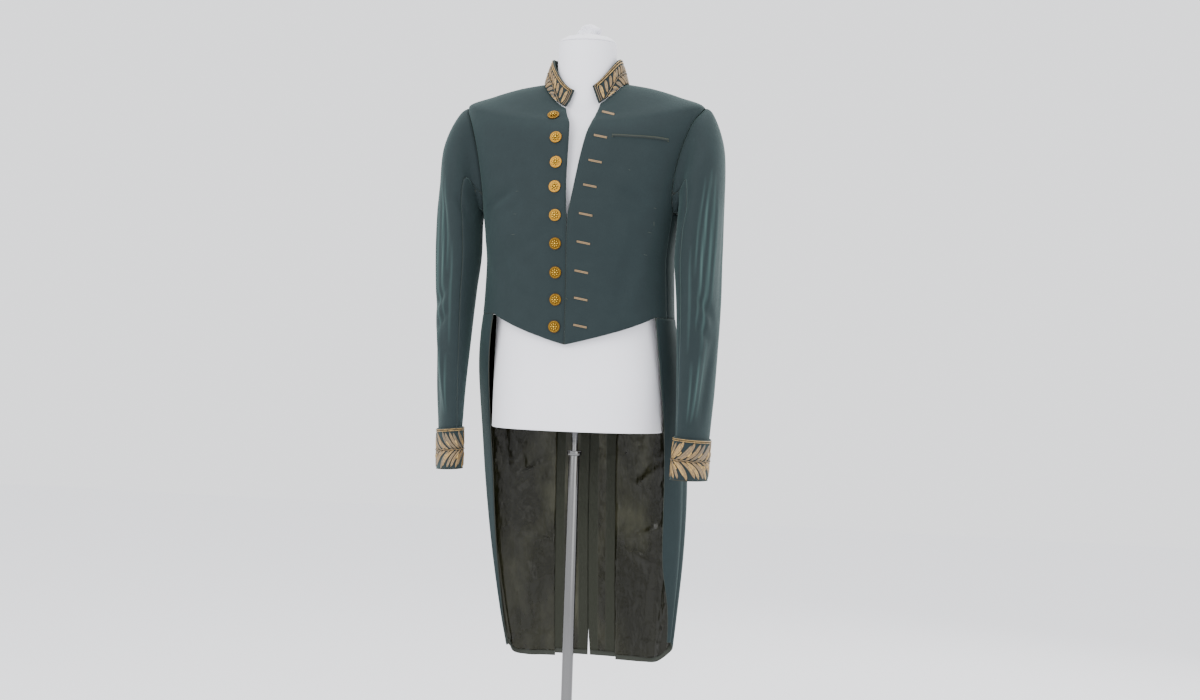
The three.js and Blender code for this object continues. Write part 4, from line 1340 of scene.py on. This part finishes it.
class TAILCOAT_OT_form(Step):
    """Fills the dress form, with the jersey gathered over its neck and tied in a knot."""

    bl_idname = "tailcoat.form"
    bl_label = "Dress Form"

    def build(self, settings, sizes):
        row, angle = np.meshgrid(np.linspace(0, len(FORM) - 1, 150), np.linspace(0, 360, 96, endpoint=False),
                                 indexing="ij")
        rings = section(FORM, row, angle)
        rings[0] = lerp(rings[0], rings[0].mean(axis=0), 0.012)
        torso = closed_rings("form_torso_jersey", rings)
        dress(torso, "dressed_form", "form_cover", finish("white jersey", settings))
        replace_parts(torso, "form_torso")
        self.cap(settings)

    def cap(self, settings):
        profile = np.array(CAP, float)
        run = run_along(profile)
        at = np.linspace(0, run[-1], 70)
        radius, height = (np.interp(at, run, profile[:, c])[:, None] for c in (0, 1))
        turn = np.linspace(0, 2 * np.pi, 120, endpoint=False)[None, :]
        swirl = turn + height / 18
        gather = np.clip((height - GATHER_LEVEL) / 5, 0, 1) * np.clip((CAP[-1][1] - height) / 4, 0, 1)
        knot = np.clip((height - KNOT_LEVEL) / 4, 0, 1)
        pleat = 0.06 * np.sin(CAP_PLEATS * swirl + 0.8 * np.sin(3 * turn)) * (1 - 0.5 * knot)
        lump = knot * (0.16 * np.sin(2 * turn + height / 4) + 0.1 * np.sin(3 * turn - height / 3))
        ring = radius * (1 - 0.02 + (pleat + lump) * gather)
        neck = FORM[-1]
        lift = (1 - knot) * -1.4 * gather * np.cos(CAP_PLEATS * swirl) + knot * 1.6 * np.sin(turn * 2 + 1)
        lift *= np.clip(radius / 12, 0, 1)
        rings = np.stack([neck[3] + ring * np.sin(turn) + 3 * knot, neck[4] - ring * np.cos(turn),
                          neck[1] + 0.5 + height + lift + 0 * ring], axis=-1)
        cap = closed_rings("neck_cap_jersey", rings)
        dress(cap, "dressed_form", "form_cover", finish("white jersey", settings))
        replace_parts(cap, "neck_cap")


# Round parts of the stand: name, body, radius, bore or 0, lower and upper level, bevel, all in metres.
STAND_PARTS = [
    ("rod", "mast", 0.0055, 0, 0.330, 0.8687, 0.0004),
    ("base", "stand", 0.190, 0, 0.0, 0.010, 0.003),
    ("tube", "stand", 0.010, 0.008, 0.0103, 0.822, 0.0005),
    ("clamp_collar", "stand", 0.013, 0.006, 0.8223, 0.8303, 0.001),
]


class TAILCOAT_OT_stand(Step):
    """Builds the chrome stand: a base plate, a tube with its clamp, and the rod that slides in it."""

    bl_idname = "tailcoat.stand"
    bl_label = "Stand"

    def build(self, settings, sizes):
        chrome = plain("chrome", linear(112, 112, 112), 0.22, 1.0, scale=14)
        for node, body, radius, bore, low, high, bevel in STAND_PARTS:
            bpy.ops.object.select_all(action="DESELECT")
            bpy.ops.mesh.primitive_cylinder_add(vertices=72, radius=radius, depth=high - low,
                                                location=(0, 0, (low + high) / 2))
            bpy.context.object.name = f"{node}_chrome"
            if bore:
                self.bore(bpy.context.object, radius - bore)
            obj = seated(bevelled(bpy.context.object, bevel))
            dress(obj, body, "chrome", chrome)
            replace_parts(obj, node)

    def bore(self, obj, wall):
        """Opens a cylinder into a tube whose wall has this thickness."""
        bpy.ops.object.mode_set(mode="EDIT")
        bpy.ops.mesh.select_all(action="DESELECT")
        mesh = bmesh.from_edit_mesh(obj.data)
        for face in mesh.faces:
            face.select = abs(face.normal.z) > 0.99
        bmesh.update_edit_mesh(obj.data)
        bpy.ops.mesh.inset(thickness=wall, depth=0, use_individual=True)
        bpy.ops.mesh.bridge_edge_loops()
        bpy.ops.object.mode_set(mode="OBJECT")


# Lights: name, position, size, and share of the key light's or the fill light's power.
LIGHTS = [
    ("key", (-1.6, -3.4, 2.9), 2.4, "key", 1.0), ("fill", (2.6, -2.6, 1.6), 2.2, "fill", 1.0),
    ("top", (0.3, 0.2, 3.4), 2.2, "fill", 0.9), ("back", (1.4, 2.8, 2.0), 2.0, "fill", 0.8),
]
CAMERA_TURN, CAMERA_SIDE, CAMERA_HEIGHT, CAMERA_ROLL = 12.5, 0.040, 1.013, 1.87


class TAILCOAT_OT_stage(bpy.types.Operator):
    """Sets a plain pale floor, a soft studio light and the camera."""

    bl_idname = "tailcoat.stage"
    bl_label = "Stage"
    bl_options = {"REGISTER", "UNDO"}

    def execute(self, context):
        settings = context.scene.tailcoat_stage
        bpy.ops.object.select_all(action="DESELECT")
        bpy.ops.mesh.primitive_plane_add(size=14, location=(0, 0, 0))
        floor = context.object
        floor.name = "floor"
        floor.data.materials.append(plain("floor paper", linear(250, 250, 252), 0.9, scale=3))
        floor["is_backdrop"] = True
        world = context.scene.world or bpy.data.worlds.new("Studio")
        context.scene.world = world
        world.use_nodes = True
        sky = world.node_tree.nodes["Background"]
        sky.inputs["Color"].default_value = linear(240, 241, 244)
        sky.inputs["Strength"].default_value = 1.9
        power = {"key": settings.key_power, "fill": settings.fill_power}
        for name, position, size, kind, share in LIGHTS:
            light = bpy.data.lights.new(name, "AREA")
            light.energy, light.size = power[kind] * share, size
            lamp = bpy.data.objects.new(name, light)
            lamp.location = position
            aim = Vector((0, 0, 1.05)) - lamp.location
            lamp.rotation_euler = aim.to_track_quat("-Z", "Y").to_euler()
            context.scene.collection.objects.link(lamp)
        self.camera(context, settings)
        return {"FINISHED"}

    def camera(self, context, settings):
        turn = math.radians(CAMERA_TURN)
        back = Vector((math.sin(turn), -math.cos(turn), 0))
        right = Vector((math.cos(turn), math.sin(turn), 0))
        data = bpy.data.cameras.new("camera")
        data.lens, data.sensor_width = 50, 36
        camera = bpy.data.objects.new("camera", data)
        camera.location = back * settings.camera_distance + right * CAMERA_SIDE
        camera.location.z += CAMERA_HEIGHT
        level = (-back).to_track_quat("-Z", "Y").to_matrix()
        camera.rotation_euler = (level @ Matrix.Rotation(math.radians(CAMERA_ROLL), 3, "Z")).to_euler()
        context.scene.collection.objects.link(camera)
        context.scene.camera = camera


class TAILCOAT_PT_panel(bpy.types.Panel):
    """The tailcoat's pieces and settings."""

    bl_idname = "TAILCOAT_PT_panel"
    bl_label = "Academic Tailcoat"
    bl_space_type = "VIEW_3D"
    bl_region_type = "UI"
    bl_category = "Tailcoat"

    def draw(self, context):
        layout = self.layout
        for name in GROUPS:
            group, box = getattr(context.scene, name), layout.box()
            for key in group.bl_rna.properties.keys():
                if key not in ("rna_type", "name"):
                    box.prop(group, key)
        for operator in STEPS:
            layout.operator(operator.bl_idname)


GROUPS = {"tailcoat_cloth": TailcoatCloth, "tailcoat_sizes": TailcoatSizes, "tailcoat_stage": TailcoatStage}
STEPS = (TAILCOAT_OT_form, TAILCOAT_OT_body, TAILCOAT_OT_skirts, TAILCOAT_OT_linings, TAILCOAT_OT_sleeves,
         TAILCOAT_OT_collar, TAILCOAT_OT_cuffs, TAILCOAT_OT_sewing, TAILCOAT_OT_buttons, TAILCOAT_OT_stand,
         TAILCOAT_OT_stage)


def register():
    for cls in (*GROUPS.values(), *STEPS, TAILCOAT_PT_panel):
        bpy.utils.register_class(cls)
    for name, group in GROUPS.items():
        setattr(bpy.types.Scene, name, bpy.props.PointerProperty(type=group))


def unregister():
    for name in GROUPS:
        delattr(bpy.types.Scene, name)
    for cls in reversed((*GROUPS.values(), *STEPS, TAILCOAT_PT_panel)):
        bpy.utils.unregister_class(cls)


def box():
    return [list(corner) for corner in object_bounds()]


def main():
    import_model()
    register()
    for step in STEPS:
        module, name = step.bl_idname.split(".")
        getattr(getattr(bpy.ops, module), name)()


if __name__ == "__main__":
    main()
